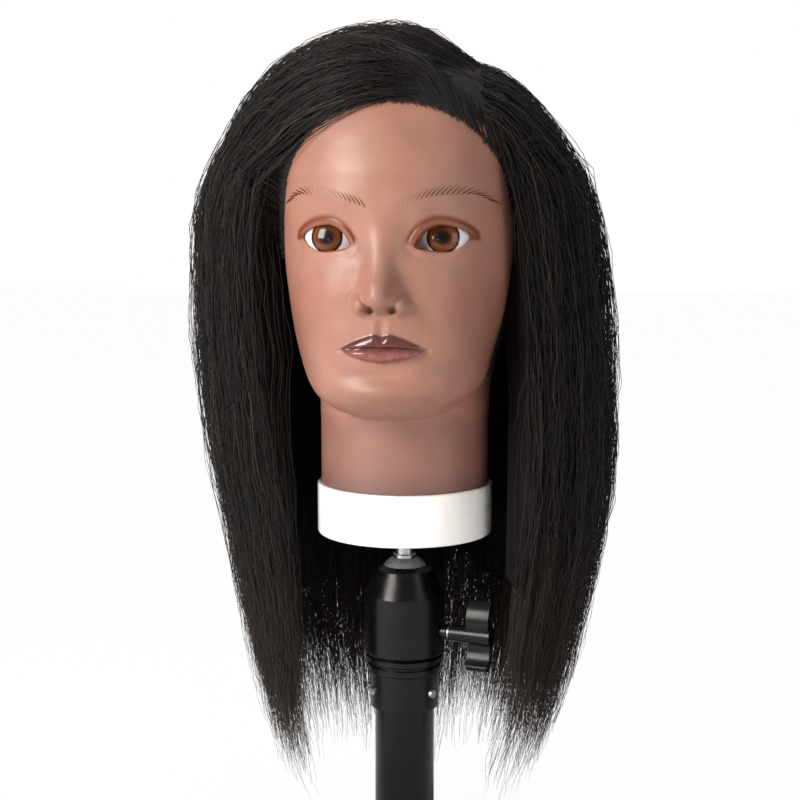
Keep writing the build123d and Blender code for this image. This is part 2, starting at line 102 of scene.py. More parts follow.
def curve(x, points):
    """Smooth curve through (x, value) points that never overshoots them, read at x."""
    xs, ys = (np.array(column, float) for column in zip(*points))
    step, rise = np.diff(xs), np.diff(ys)
    slope = rise / step
    m = np.zeros(len(xs))
    same = slope[:-1] * slope[1:] > 0
    m[1:-1][same] = 2 * slope[:-1][same] * slope[1:][same] / (slope[:-1] + slope[1:])[same]
    m[0], m[-1] = slope[0], slope[-1]
    x = np.asarray(x, float)
    i = np.clip(np.searchsorted(xs, x) - 1, 0, len(xs) - 2)
    t = np.clip((x - xs[i]) / step[i], 0, 1)
    a, b = 1 + 2 * t, 1 - t
    return (
        ys[i] * a * b * b
        + m[i] * step[i] * t * b * b
        + ys[i + 1] * t * t * (3 - 2 * t)
        - m[i + 1] * step[i] * t * t * b
    )


def ease(x, low=0.0, high=1.0):
    """0 below low, 1 above high, smooth between."""
    t = np.clip((x - low) / (high - low), 0, 1)
    return t * t * (3 - 2 * t)


def union(a, b, soft):
    """The further-forward (lower) of two surfaces, rounded where they meet."""
    h = np.clip(0.5 + 0.5 * (b - a) / soft, 0, 1)
    return b * (1 - h) + a * h - soft * h * (1 - h)


def hump(x, centre, width):
    """1 at the centre, falling smoothly to nothing about two widths away."""
    return np.exp(-(((x - centre) / width) ** 2))


def mesh_object(name, points, faces, material, attributes=None, smooth=True):
    """A finished mesh piece from points in millimetres."""
    mesh = bpy.data.meshes.new(name)
    mesh.from_pydata((np.asarray(points, float) * MM).tolist(), [], [list(map(int, f)) for f in faces])
    for key, values in (attributes or {}).items():
        layer = mesh.attributes.new(key, "FLOAT", "POINT")
        layer.data.foreach_set("value", np.asarray(values, np.float32))
    mesh.polygons.foreach_set("use_smooth", [smooth] * len(mesh.polygons))
    mesh.materials.append(material)
    mesh.update()
    made = bpy.data.objects.new(name, mesh)
    bpy.context.scene.collection.objects.link(made)
    return made


def grid_faces(rows, columns, closed=True):
    """Quads of a grid whose points run along each row; closed joins each row's ends."""
    faces = []
    wrap = columns if closed else columns - 1
    for r in range(rows - 1):
        for c in range(wrap):
            d = (c + 1) % columns
            faces.append((r * columns + c, r * columns + d, (r + 1) * columns + d, (r + 1) * columns + c))
    return faces


def box_mm(node):
    """A CAD node's lowest and highest corner, in millimetres."""
    low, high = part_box(node)
    return np.array(low) / MM, np.array(high) / MM


CUP_LOW, CUP_HIGH = box_mm("base_cup")
HEAD_Z = CUP_LOW[2]  # everything on the head is measured up from the base cup's underside


# ------------------------------------------------------------------ sizes and colours
class StageSettings(bpy.types.PropertyGroup):
    camera_distance: bpy.props.FloatProperty(
        name="Camera distance", description="From the column's axis", default=0.95, unit="LENGTH"
    )
    camera_height: bpy.props.FloatProperty(
        name="Camera height", description="Above the column's lower end", default=0.407, unit="LENGTH"
    )
    camera_turn: bpy.props.FloatProperty(
        name="Camera turn", description="Round the column, from straight ahead",
        default=math.radians(8.4), subtype="ANGLE",
    )
    camera_pitch: bpy.props.FloatProperty(
        name="Camera pitch", description="Downward tilt", default=math.radians(7.44), subtype="ANGLE"
    )
    camera_view: bpy.props.FloatProperty(
        name="Angle of view", description="Across the whole frame",
        default=math.radians(29.4), subtype="ANGLE",
    )
    key_power: bpy.props.FloatProperty(name="Key light", description="Watts", default=33.0, min=0)
    room_light: bpy.props.FloatProperty(
        name="Room light", description="Strength all round", default=0.3, min=0
    )
    fill_power: bpy.props.FloatProperty(name="Fill light", description="Watts", default=5.0, min=0)
    backdrop: bpy.props.StringProperty(name="Backdrop", description="sRGB hex", default="#FFFFFF")


class FaceSettings(bpy.types.PropertyGroup):
    skin: bpy.props.StringProperty(name="Skin", description="Vinyl skin, sRGB hex", default="#9F7261")
    lips: bpy.props.StringProperty(name="Lips", description="Lip paint, sRGB hex", default="#8C5A54")
    liner: bpy.props.StringProperty(
        name="Liner", description="Airbrushed lid line, sRGB hex", default="#6E3412"
    )
    brow: bpy.props.StringProperty(name="Brows", description="Brow strokes, sRGB hex", default="#481B08")
    iris: bpy.props.StringProperty(name="Iris", description="Iris, sRGB hex", default="#5A2F17")
    eye_apart: bpy.props.FloatProperty(
        name="Eye spacing", description="Between the eyes' centres", default=0.067, unit="LENGTH"
    )


class HairSettings(bpy.types.PropertyGroup):
    colour: bpy.props.StringProperty(name="Hair", description="Hair, sRGB hex", default="#161312")
    strand: bpy.props.FloatProperty(
        name="Strand width", description="Drawn as coarse as it needs to show",
        default=0.00046, unit="LENGTH",
    )
    locks: bpy.props.IntProperty(name="Locks", description="Guide locks in the lengths", default=900, min=10)
    per_lock: bpy.props.IntProperty(name="Strands in a lock", description="Strands", default=7, min=1)
    points: bpy.props.IntProperty(name="Points", description="Along one strand", default=28, min=6)
    frizz: bpy.props.FloatProperty(
        name="Frizz", description="How far a strand strays", default=0.0042, unit="LENGTH"
    )
    seed: bpy.props.IntProperty(name="Seed", description="Fixes the chance in the hair", default=7)


# ------------------------------------------------------------------ materials
def new_material(name):
    """An empty material with its shader and output ready."""
    made = bpy.data.materials.new(name)
    made.use_nodes = True
    tree = made.node_tree
    tree.nodes.clear()
    shader = tree.nodes.new("ShaderNodeBsdfPrincipled")
    fill(tree.nodes.new("ShaderNodeOutputMaterial"), {"Surface": shader.outputs[0]})
    return made, tree, shader


def vinyl_skin(face):
    """Soft PVC, cast and matt-dipped: a satin skin, faint pores, airbrushed cheeks, glossy lip paint, and
    painted shade on the jaw, under the chin, in the nostrils, down the neck, on the upper lip and on the scalp
    under the hair.
    """
    made, tree, shader = new_material("vinyl_skin_airbrushed_and_painted_shade")
    where = add(tree, "ShaderNodeTexCoord", out="Object")
    mottle = add(tree, "ShaderNodeTexNoise", {"Vector": where, "Scale": 55.0, "Detail": 4.0})
    base = add(tree, "ShaderNodeValToRGB", {"Fac": mottle}, stops=((0.3, "#93685A"), (0.7, face.skin)))
    grain = add(tree, "ShaderNodeTexNoise", {"Vector": where, "Scale": 240.0, "Detail": 2.0})
    lip_paint = add(tree, "ShaderNodeValToRGB", {"Fac": grain}, stops=((0.3, "#6E3E39"), (0.7, face.lips)))
    masks = {}
    for name, colour in (  # laid one over the other: airbrushed blush, liner and lip paint, and painted shade on the jaw, chin, nostrils, neck, upper lip and scalp
        ("blush", linear("#9A5F4A")), ("shade", linear("#6A4232")), ("neck", linear("#74524A")),
        ("liner", linear(face.liner)), ("lips", lip_paint), ("upper_lip_shade", linear("#4C2622")),
        ("scalp", linear("#140F0E")),
    ):
        masks[name] = add(tree, "ShaderNodeAttribute", out="Fac", attribute_name=name)
        base = add(tree, "ShaderNodeMix", {0: masks[name], 6: base, 7: colour}, out=2, data_type="RGBA")
    # satin vinyl is about 0.46 rough, wet-look lip paint about 0.15, the scalp under the hair matt
    rough = add(tree, "ShaderNodeMapRange", {0: masks["lips"], 1: 0.0, 2: 1.0, 3: 0.46, 4: 0.15})
    matt = add(tree, "ShaderNodeMath", {0: masks["scalp"], 1: 0.5, 2: rough}, operation="MULTIPLY_ADD")
    # pores of the mould, 0.5 mm apart, drawn at 0.9 mm so that they show
    pores = add(tree, "ShaderNodeTexNoise", {"Vector": where, "Scale": 1100.0, "Detail": 2.0})
    relief = add(tree, "ShaderNodeBump", {"Height": pores, "Strength": 0.05, "Distance": 0.0003})
    fill(shader, {
        "Base Color": base, "Roughness": matt, "Normal": relief, "IOR": 1.5, "Subsurface Weight": 0.06,
        "Subsurface Radius": (0.006, 0.003, 0.002), "Subsurface Scale": 1.0,
    })
    return made


def moulded_plastic(name, low, high, rough_low, rough_high, peel_depth=0.04, coat=0.0, shine=0.5):
    """Injection-moulded plastic: even colour, faint flow marks and a fine orange-peel gloss."""
    made, tree, shader = new_material(name)
    where = add(tree, "ShaderNodeTexCoord", out="Object")
    flow = add(
        tree, "ShaderNodeTexNoise", {"Vector": where, "Scale": 28.0, "Detail": 5.0, "Distortion": 0.6}
    )
    smear = add(tree, "ShaderNodeTexNoise", {"Vector": where, "Scale": 90.0, "Detail": 6.0})
    peel = add(tree, "ShaderNodeTexNoise", {"Vector": where, "Scale": 420.0, "Detail": 2.0})
    fill(shader, {
        "Base Color": add(tree, "ShaderNodeValToRGB", {"Fac": flow}, stops=((0.3, low), (0.7, high))),
        "Roughness": add(tree, "ShaderNodeMapRange", {0: smear, 1: 0.3, 2: 0.7, 3: rough_low, 4: rough_high}),
        "Normal": add(tree, "ShaderNodeBump", {"Height": peel, "Strength": peel_depth, "Distance": 0.0004}),
        "IOR": 1.52, "Specular IOR Level": shine, "Coat Weight": coat, "Coat Roughness": 0.08,
    })
    return made


def metal(name, low, high, rough_low, rough_high, grit, depth, turned=False):
    """Bare metal: grit is the spacing of its marks in millimetres, turned stretches them round Z."""
    made, tree, shader = new_material(name)
    where = add(tree, "ShaderNodeTexCoord", out="Object")
    if turned:
        where = add(tree, "ShaderNodeMapping", {"Vector": where, "Scale": (0.05, 0.05, 1.0)})
    marks = add(tree, "ShaderNodeTexNoise", {"Vector": where, "Scale": 1 / (grit * MM), "Detail": 3.0})
    fill(shader, {
        "Base Color": add(tree, "ShaderNodeValToRGB", {"Fac": marks}, stops=((0.35, low), (0.65, high))),
        "Roughness": add(tree, "ShaderNodeMapRange", {0: marks, 1: 0.3, 2: 0.7, 3: rough_low, 4: rough_high}),
        "Normal": add(tree, "ShaderNodeBump", {"Height": marks, "Strength": depth, "Distance": 0.0003}),
        "Metallic": 1.0,
    })
    return made


def painted_eye(face):
    """Acrylic eye: a printed iris under a clear polished dome."""
    made, tree, shader = new_material("acrylic_eye_printed")
    # distance from the pupil's centre, 0 to 1 for 0 to 20 mm, and the turn round it
    from_pupil = add(tree, "ShaderNodeAttribute", out="Fac", attribute_name="iris_mm")
    turn = add(tree, "ShaderNodeAttribute", out="Fac", attribute_name="iris_turn")
    spokes = add(
        tree, "ShaderNodeTexNoise", {"W": turn, "Scale": 60.0, "Detail": 3.0}, noise_dimensions="1D"
    )
    wobble = add(tree, "ShaderNodeMath", {0: spokes, 1: 0.05, 2: from_pupil}, operation="MULTIPLY_ADD")
    iris = add(tree, "ShaderNodeValToRGB", {"Fac": wobble}, stops=(
        (0.0, "#0A0605"), (0.12, "#060403"), (0.20, "#1E0E07"), (0.30, face.iris), (0.40, "#6E3A1B"),
        (0.435, "#4A2511"), (0.455, "#120906"), (0.485, "#120906"), (0.51, "#D8D4E0"), (1.0, "#CFCAD8"),
    ))
    fill(shader, {
        "Base Color": iris, "Roughness": 0.3, "Specular IOR Level": 0.1, "Coat Weight": 0.5,
        "Coat Roughness": 0.02, "IOR": 1.49,
    })
    return made


def hair_material(colour):
    """Black hair: near-black cuticle with a soft brownish sheen that breaks up along each strand."""
    made, tree, shader = new_material("black_hair")
    where = add(tree, "ShaderNodeTexCoord", out="Object")
    which = add(tree, "ShaderNodeAttribute", out="Fac", attribute_name="strand")
    tint = add(
        tree, "ShaderNodeValToRGB", {"Fac": which}, stops=((0.0, "#0A0909"), (0.86, colour), (1.0, "#4A3A33"))
    )
    # browner towards the ends, from 210 to 30 mm above the column's lower end
    height = add(tree, "ShaderNodeSeparateXYZ", {"Vector": where}, out="Z")
    toward_ends = add(tree, "ShaderNodeMapRange", {0: height, 1: 0.03, 2: 0.21, 3: 0.55, 4: 0.0})
    tone_shift = add(
        tree, "ShaderNodeMix", {0: toward_ends, 6: tint, 7: linear("#43342B")}, out=2, data_type="RGBA"
    )
    kink = add(tree, "ShaderNodeTexNoise", {"Vector": where, "Scale": 320.0, "Detail": 2.0})
    rough = add(tree, "ShaderNodeMapRange", {0: kink, 1: 0.3, 2: 0.7, 3: 0.4, 4: 0.68})
    fill(shader, {"Base Color": tone_shift, "Roughness": rough, "IOR": 1.55, "Specular IOR Level": 0.3})
    return made


def under_hair_material():
    """Hair seen deep between the outer locks: painted shade, near black and darker than the hair's own colour,
    ridged along the strands.
    """
    made, tree, shader = new_material("black_hair_under")
    across = add(tree, "ShaderNodeAttribute", out="Fac", attribute_name="across")
    ridges = add(
        tree, "ShaderNodeTexNoise", {"W": across, "Scale": 420.0, "Detail": 3.0}, noise_dimensions="1D"
    )
    fill(shader, {
        "Base Color": add(
            tree, "ShaderNodeValToRGB", {"Fac": ridges}, stops=((0.3, "#060505"), (0.7, "#100E0D"))
        ),
        "Normal": add(tree, "ShaderNodeBump", {"Height": ridges, "Strength": 0.8, "Distance": 0.001}),
        "Roughness": 0.8, "Specular IOR Level": 0.12,
    })
    return made


def brow_paint(name, tints):
    """Brow paint: matt brown strokes laid on by hand with uneven streaks; the light stretch in the tints is a
    painted highlight where the brow ridge catches the light.
    """
    made, tree, shader = new_material(name)
    where = add(tree, "ShaderNodeTexCoord", out="Object")
    out = add(tree, "ShaderNodeSeparateXYZ", {"Vector": where}, out="X")
    out = add(tree, "ShaderNodeMath", {0: out}, operation="ABSOLUTE")
    along = add(tree, "ShaderNodeMapRange", {0: out, 1: 0.008, 2: 0.068, 3: 0.0, 4: 1.0})
    colour = add(tree, "ShaderNodeValToRGB", {"Fac": along}, stops=tints)
    streak = add(tree, "ShaderNodeTexNoise", {"Vector": where, "Scale": 700.0, "Detail": 2.0})
    tone_shift = add(tree, "ShaderNodeMapRange", {0: streak, 1: 0.3, 2: 0.7, 3: 0.78, 4: 1.1})
    uneven = add(tree, "ShaderNodeVectorMath", {0: colour, "Scale": tone_shift}, operation="SCALE")
    fill(shader, {"Base Color": uneven, "Roughness": 0.8, "Specular IOR Level": 0.15})
    return made


# ------------------------------------------------------------------ head surface
# up from the base cup's underside, millimetres: half width, forwardmost y, backmost y, y of the widest place
SKULL = [
    (3.4, 52.5, -52.5, 52.5, 0), (40, 52.5, -52.5, 52.5, 0), (66, 52.5, -52.8, 53, 0),
    (78, 52.8, -53.5, 57, 1), (93, 53.5, -56, 64, 3), (105, 55.5, -61, 69, 4), (120, 59.5, -70, 74, 5),
    (150, 68.0, -84, 86, 6), (185, 73, -91, 96, 8), (220, 75.5, -91, 100, 9), (250, 73, -84, 97, 9),
    (275, 62, -67, 83, 8.5), (290, 42, -44, 60, 8), (299, 0.0, 8, 8, 8),
]
# up: half width of the face mask, forwardmost y, y where it meets the cheeks
FACE = [
    (74, 10, -42, -40), (78, 19, -53.5, -42), (80.5, 26, -64, -43), (83.5, 33, -75.5, -43),
    (88, 40.5, -84, -42),
    (93, 46.5, -87.5, -39), (99, 51.5, -88.5, -33), (107, 56, -87.5, -26), (118, 60.5, -88.5, -18),
    (130, 64.5, -90, -10), (150, 69, -91, 0), (168, 72, -90, 4), (185, 74, -89.5, 7),
    (205, 75, -92, 9), (222, 75.5, -92.5, 9),
    (240, 74, -88, 9), (252, 71.5, -82.5, 9), (275, 60, -66, 8.5), (290, 40, -43, 8), (299, 1, 8, 8),
]
SKULL_TABLES = [[(row[0], row[k]) for row in SKULL] for k in range(1, 5)]
FACE_TABLES = [[(row[0], row[k]) for row in FACE] for k in range(1, 4)]
EYE_UP = 185.0
EYE_R = 19.0  # radius of the eye's dome
EYE_IN = 2.0  # the dome's centre sits nearer the nose than the opening's centre
EYE_FRONT = -80.6
LID = 1.1  # thickness of the lids
LIPS_UP = 122.4  # where the lips meet, at the corners


# the face's soft forms: push backwards, distance out from the middle and its spread, height and its spread
FORMS = (
    (-2.6, 36, 17, 158, 17), (-1.8, 27, 17, 207, 8),  # cheeks and brow ridge
    (1.6, 62, 10, 205, 18), (-1.8, 0, 15, 97, 8),  # temples and chin
    (1.5, 0, 16, LIPS_UP - 14, 4.5),  # the hollow under the lower lip
    (5.4, 31, 17, 187, 13), (3.0, 15, 6, 190, 11), (5.4, 17.0, 5, 182.5, 6.5),  # eye sockets
)
NOSE_HEIGHT = (
    (139, 0), (142.5, 0.8), (144.5, 4.5), (147, 10.5), (150, 15), (154, 18.0), (159, 16.8), (167, 12.6),
    (177, 8.0), (186, 4.8), (194, 2.6), (204, 0.8), (212, 0),
)
NOSE_WIDTH = (
    (142.5, 6), (147.5, 7.6), (152.5, 9.8), (156.5, 10.2), (164, 9.6), (174, 8.4), (186, 8), (204, 10),
)


def lip_line(x):
    """Height where the lips meet."""
    return LIPS_UP + 1.6 * (1 - (x / 25.5) ** 2) - 0.5 * hump(x, 0, 2.4)


def lip_top(x):
    """Height of the upper lip's edge, with its bow."""
    bow = 9.0 * np.clip(1 - (np.abs(x) / 26.0) ** 1.5, 0, 1) - 1.7 * hump(x, 0, 2.8)
    return lip_line(x) + bow


def lip_low(x):
    """Height of the lower lip's edge."""
    return lip_line(x) - 8.4 * np.clip(1 - (x / 24.0) ** 2, 0, 1) ** 0.8


def front_surface(x, up, eye_x):
    """y of the front of the head at (x, height above the base cup)."""
    half, front, _, mid = (curve(up, table) for table in SKULL_TABLES)
    side = np.clip(1 - (x / np.maximum(half, 0.01)) ** 2, 0, 1)
    neck = mid - (mid - front) * np.sqrt(side)
    w, mask_front, back_y = (curve(up, table) for table in FACE_TABLES)
    n = 2.25
    flat = np.clip(1 - np.clip(np.abs(x) / w, 0, 1) ** n, 0, 1) ** (1 / n)
    mask = back_y - (back_y - mask_front) * flat
    mask = mask + 12 * np.clip(np.abs(x) - w, 0, None) + 9 * np.clip(75 - up, 0, None)
    ax = np.abs(x)
    for push, out, width, height, reach in FORMS:
        mask = mask + push * hump(ax, out, width) * hump(up, height, reach)
    # smile line and the hollow under the cheek
    mask = mask + 0.5 * hump(ax - 0.45 * (146 - up), 25, 6) * hump(up, 138, 12)
    # nose
    ridge = curve(up, NOSE_HEIGHT) * np.exp(-((ax / (1.06 * curve(up, NOSE_WIDTH))) ** 2.5))
    wing_r = ((ax - 11.4) / 5.6) ** 2 + ((up - 149.2) / 6.2) ** 2
    wing = 9.6 * np.exp(-(wing_r ** 1.35))
    nostril = 5.5 * np.exp(-((((ax - 6.4) / 2.9) ** 2 + ((up - 146.0) / 1.9) ** 2) ** 1.4))
    mask = mask + union(-ridge, -wing, 3.0) + nostril
    # the fold round each wing
    fold_r = np.sqrt(((ax - 11.0) / 6.9) ** 2 + ((up - 149.5) / 7.6) ** 2)
    mask = mask + 0.8 * hump(fold_r, 1.08, 0.19) * ease(ax, 11, 15)
    # groove above the lip
    mask = mask + hump(x, 0, 2.3) * hump(up, LIPS_UP + 13, 6)
    mask = mask - 0.4 * hump(ax, 4.3, 1.8) * hump(up, LIPS_UP + 12, 5)
    # lips
    line, top, low = lip_line(x), lip_top(x), lip_low(x)
    end = np.clip(1 - (ax / 27.0) ** 4, 0, 1)
    v = np.clip((up - line) / np.maximum(top - line, 0.4), 0, 1)
    upper = 3.3 * (1 - v**1.8) * np.clip(v * 5, 0, 1) ** 0.6
    mask = mask - np.where(up >= line, upper, 0) * end
    v = np.clip((line - up) / np.maximum(line - low, 0.4), 0, 1)
    lower = 5.2 * np.clip(4 * v * (1 - v), 0, 1) ** 0.62 * (1.2 - 0.35 * v)
    mask = mask - np.where(up < line, lower, 0) * end
    mask = mask + 1.5 * hump(up, line, 0.8) * ease(28 - ax, 0, 3)
    surface = union(neck, mask, 3.0 + 9.0 * ease(up, 90, 120))
    # lids: a dome just over the eye
    centre = EYE_FRONT + EYE_R
    reach = (EYE_R + LID) ** 2 - (ax - (eye_x - EYE_IN)) ** 2 - (up - EYE_UP) ** 2
    lid = centre - np.sqrt(np.clip(reach, 0, None))
    lid = lid + 30 * np.clip(-reach, 0, None) ** 0.5
    return union(surface, lid, 3.2)


def eye_outline(turn):
    """Opening of the eye round its centre: u outward, v up; turn 0 is the outer corner, going up."""
    c, s = np.cos(turn), np.sin(turn)
    upper = 8.6 * np.abs(s) ** 1.35 * (1 - 0.12 * c)
    lower = -6.9 * np.abs(s) ** 1.4 * (1 + 0.10 * c)
    v = np.where(s >= 0, upper, lower) + np.where(c > 0, 1.6, -3.4) * np.abs(c) ** 2.2
    return 15.2 * c, v


RING_OUT, RING_LID, COLUMNS_FRONT = 25, 12, 100  # grid squares round an eye, and from the middle to a temple
NEAR_EYE = 12.0  # millimetres from the lid's edge within which the lid's own forms and paint lie


def between(values, rows, columns):
    """Values of a grid read between its points."""
    r0 = np.clip(np.floor(rows).astype(int), 0, values.shape[0] - 2)
    c0 = np.clip(np.floor(columns).astype(int), 0, values.shape[1] - 2)
    fr, fc = rows - r0, columns - c0
    top = values[r0, c0] * (1 - fc) + values[r0, c0 + 1] * fc
    low = values[r0 + 1, c0] * (1 - fc) + values[r0 + 1, c0 + 1] * fc
    return top * (1 - fr) + low * fr


def wrap_eye(side, eye_x, rows, x, up, distance, upper, depth):
    """Bends the grid's square rings round one eye's opening, and measures them from the lid's edge."""
    row_c = int(np.argmin(np.abs(rows - EYE_UP)))
    col_c = int(np.argmin(np.abs(x[row_c, : 2 * COLUMNS_FRONT + 1] - side * eye_x)))
    reach = np.arange(-RING_OUT, RING_OUT + 1)
    p, q = np.meshgrid(reach, reach)
    k = np.maximum(np.maximum(np.abs(p), np.abs(q)), 1e-6)
    rim_p, rim_q = p * RING_OUT / k, q * RING_OUT / k
    rim_x, rim_up = (between(grid.copy(), row_c + rim_q, col_c + rim_p) for grid in (x, up))
    turn = np.arctan2(rim_q, rim_p * side)
    u, v = eye_outline(turn)
    lid_x, lid_up = side * (eye_x + u), EYE_UP + v
    f = np.clip((k - RING_LID) / (RING_OUT - RING_LID), 0, 1)
    f = f * (0.8 + 0.2 * f)
    inside, edge = k < RING_LID, k == RING_LID - 1
    shrink = np.where(edge, 0.985, 0.25 + 0.75 * np.clip(k / RING_LID, 0, 1))
    centre_x, centre_up = side * eye_x, EYE_UP
    new_x = np.where(inside, centre_x + (lid_x - centre_x) * shrink, lid_x * (1 - f) + rim_x * f)
    new_up = np.where(inside, centre_up + (lid_up - centre_up) * shrink, lid_up * (1 - f) + rim_up * f)
    new_x, new_up = np.where(k < 0.5, centre_x, new_x), np.where(k < 0.5, centre_up, new_up)
    part = (
        slice(row_c - RING_OUT, row_c + RING_OUT + 1), slice(col_c - RING_OUT, col_c + RING_OUT + 1)
    )
    x[part], up[part] = new_x, new_up
    distance[part] = np.hypot(new_x - lid_x, new_up - lid_up) * np.where(inside, -1, 1)
    upper[part] = ease(np.sin(turn), -0.25, 0.25)
    depth[part] = np.where(inside, np.where(edge, 1.6, 13.0), 0)


def paint_masks(x, y, up, eye_x, is_front, distance, upper, lid):
    """Where each paint and each painted shade lies on the skin, 0 to 1."""
    ax = np.abs(x)
    line = lip_line(x)
    lips = ease(up, lip_low(x) - 0.4, lip_low(x) + 0.4) * ease(-up, -lip_top(x) - 0.4, -lip_top(x) + 0.4)
    lips = lips * is_front * ease(-ax, -26.6, -25.4)
    lash = np.where(distance < NEAR_EYE, hump(distance, 0.1, 0.7), 0) * np.where(upper > 0.5, 1.0, 0.35)
    crease = lid * (hump(distance, 4.0, 1.6) + 0.55 * hump(distance, 1.6, 2.0))
    tail = hump(up - (EYE_UP + 1.4 - 0.18 * (ax - eye_x - 15)), 0, 1.3)
    tail = tail * ease(ax, eye_x + 13, eye_x + 15.5) * ease(-ax, -eye_x - 22, -eye_x - 17)
    liner = np.clip(lash + 0.95 * crease + 0.85 * tail, 0, 1) * is_front
    # painted shade: darker down the sides of the jaw, under the chin and in the nostrils, where shade falls
    shade = (
        0.75 * hump(ax, 62, 15) * hump(up, 120, 34) + 0.5 * hump(up, 93, 6) * hump(x, 0, 40)
        + 0.55 * hump(ax, 6.4, 3.2) * hump(up, 147.0, 2.2)
    )
    across = np.clip(np.abs(x - 3) / 74.5, 0, 1)
    above = ease(up - (EYE_UP + 76 * np.clip(1 - across**2.7, 0, 1) ** (1 / 2.3)), -0.5, 5.0)
    beside = ease(y, -34, -24) * ease(up, 92, 105)
    return {
        "lips": lips,
        # painted shade: the upper lip, which faces down, darker than the lower lip
        "upper_lip_shade": 0.75 * lips * ease(up - line, -0.3, 0.5),
        "liner": np.maximum(liner, np.where(distance < 0, 0.3, 0)),
        "blush": 0.3 * hump(ax, 42, 17) * hump(up, 150, 18) * is_front,
        "shade": np.clip(shade, 0, 1) * is_front,
        # painted shade: the neck darker under the jaw, darkest towards the foot
        "neck": ease(-up, -84, -70) * (0.55 + 0.45 * ease(-up, -50, -34)),
        # painted shade: the scalp under the hair near black, so that gaps between strands read as shade
        "scalp": np.where(is_front, np.maximum(above * ease(up, 175, 190), beside), ease(up, 92, 110)),
    }


def build_head(face, material):
    """The vinyl skin as one closed mesh, fine over the face, with loops that follow the eyes."""
    eye_x = face.eye_apart / 2 / MM
    rows = [np.linspace(low, high, count, endpoint=False) for low, high, count in (
        (3.4, 66, 12), (66, 80, 9), (80, 96, 26), (96, 214, 156), (214, 262, 28))]
    rows = np.concatenate(rows + [262 + 37 * np.sin(np.linspace(0, np.pi / 2, 22))[:-1]])
    s = np.arange(-COLUMNS_FRONT, COLUMNS_FRONT + 1) / COLUMNS_FRONT
    theta = np.concatenate([
        np.pi / 2 * (s + 0.4 * s**3) / 1.4, np.linspace(np.pi / 2, 3 * np.pi / 2, 62)[1:-1]
    ])
    columns = len(theta)
    up = np.repeat(rows[:, None], columns, 1)
    half = curve(rows, SKULL_TABLES[0])[:, None]
    x = half * np.sin(theta)[None, :]
    is_front = np.repeat(np.arange(columns)[None, :] < len(s), len(rows), 0)
    distance, upper, depth = np.full(up.shape, 99.0), np.zeros(up.shape), np.zeros(up.shape)
    for side in (-1, 1):
        wrap_eye(side, eye_x, rows, x, up, distance, upper, depth)
    front_y = front_surface(x, up, eye_x) + depth
    # lid crease and the soft roll between it and the lashes
    lid = upper * (distance < NEAR_EYE)
    front_y = front_y + lid * (0.9 * hump(distance, 4.6, 0.9) - 0.35 * hump(distance, 2.3, 1.2))
    front_y = front_y + (1 - upper) * (distance < NEAR_EYE) * 0.3 * hump(distance, 4.5, 1.5)
    _, front, back, mid = (curve(up, table) for table in SKULL_TABLES)
    cosine = np.cos(theta)[None, :]
    y = np.where(is_front, front_y, mid - (back - mid) * cosine)
    blend = ease(np.abs(x) / np.maximum(half, 0.01), 0.97, 1.0)
    round_y = np.maximum(y, mid - (mid - front) * np.abs(cosine))
    y = np.where(is_front, y * (1 - blend) + round_y * blend, y)
    points = np.stack([x, y, up + HEAD_Z], 2).reshape(-1, 3)
    # close the foot and the crown
    top, foot = len(points), len(points) + 1
    points = np.vstack([points, [0, 8, HEAD_Z + 299], [0, 0, HEAD_Z + rows[0]]])
    faces = grid_faces(len(rows), columns)
    last = (len(rows) - 1) * columns
    faces += [(last + c, last + (c + 1) % columns, top) for c in range(columns)]
    faces += [((c + 1) % columns, c, foot) for c in range(columns)]
    masks = paint_masks(x, y, up, eye_x, is_front, distance, upper, lid)
    flat = {
        key: np.append(np.asarray(mask, float).reshape(-1), [float(key == "scalp"), 0.0])
        for key, mask in masks.items()
    }
    return mesh_object("head_skin_cast", points, faces, material, flat)


def build_eye(name, side, eye_x, material):
    """One acrylic eye: a dome whose iris is measured from its own pupil."""
    rings, spokes = 40, 96
    centre = np.array([side * (eye_x - EYE_IN), EYE_FRONT + EYE_R, HEAD_Z + EYE_UP])
    gaze_u, gaze_v = EYE_IN * side, 1.6  # the iris sits at the opening's centre, a little high
    angle = np.repeat(math.radians(68) * np.arange(rings) / (rings - 1), spokes)
    turn = np.tile(2 * math.pi * np.arange(spokes) / spokes, rings)
    points = centre + EYE_R * np.stack(
        [np.sin(angle) * np.cos(turn), -np.cos(angle), np.sin(angle) * np.sin(turn)], 1
    )
    du, dv = points[:, 0] - centre[0] - gaze_u, points[:, 2] - centre[2] - gaze_v
    iris = np.hypot(du, dv) / 20
    turn_value = (np.arctan2(dv, du) / (2 * np.pi)) % 1.0
    # the clear dome over the iris stands slightly proud
    points[:, 1] -= 0.5 * ease(-iris * 20, -9.5, -5.0)
    faces = grid_faces(rings, spokes)[spokes:]
    faces += [(spokes + c, spokes + (c + 1) % spokes, 0) for c in range(spokes)]
    keep = np.array([0] + list(range(spokes, rings * spokes)))
    lookup = {int(old): new for new, old in enumerate(keep)}
    back = len(keep)
    points = np.vstack([points[keep], centre + np.array([0, -EYE_R * 0.3, 0])])
    iris, turn_value = np.append(iris[keep], 1), np.append(turn_value[keep], 0)
    faces = [[lookup[i] for i in f] for f in faces]
    rim = (rings - 1) * spokes
    faces += [[lookup[rim + (c + 1) % spokes], lookup[rim + c], back] for c in range(spokes)]
    faces = [f[::-1] for f in faces]
    return mesh_object(name, points, faces, material, {"iris_mm": iris, "iris_turn": turn_value})


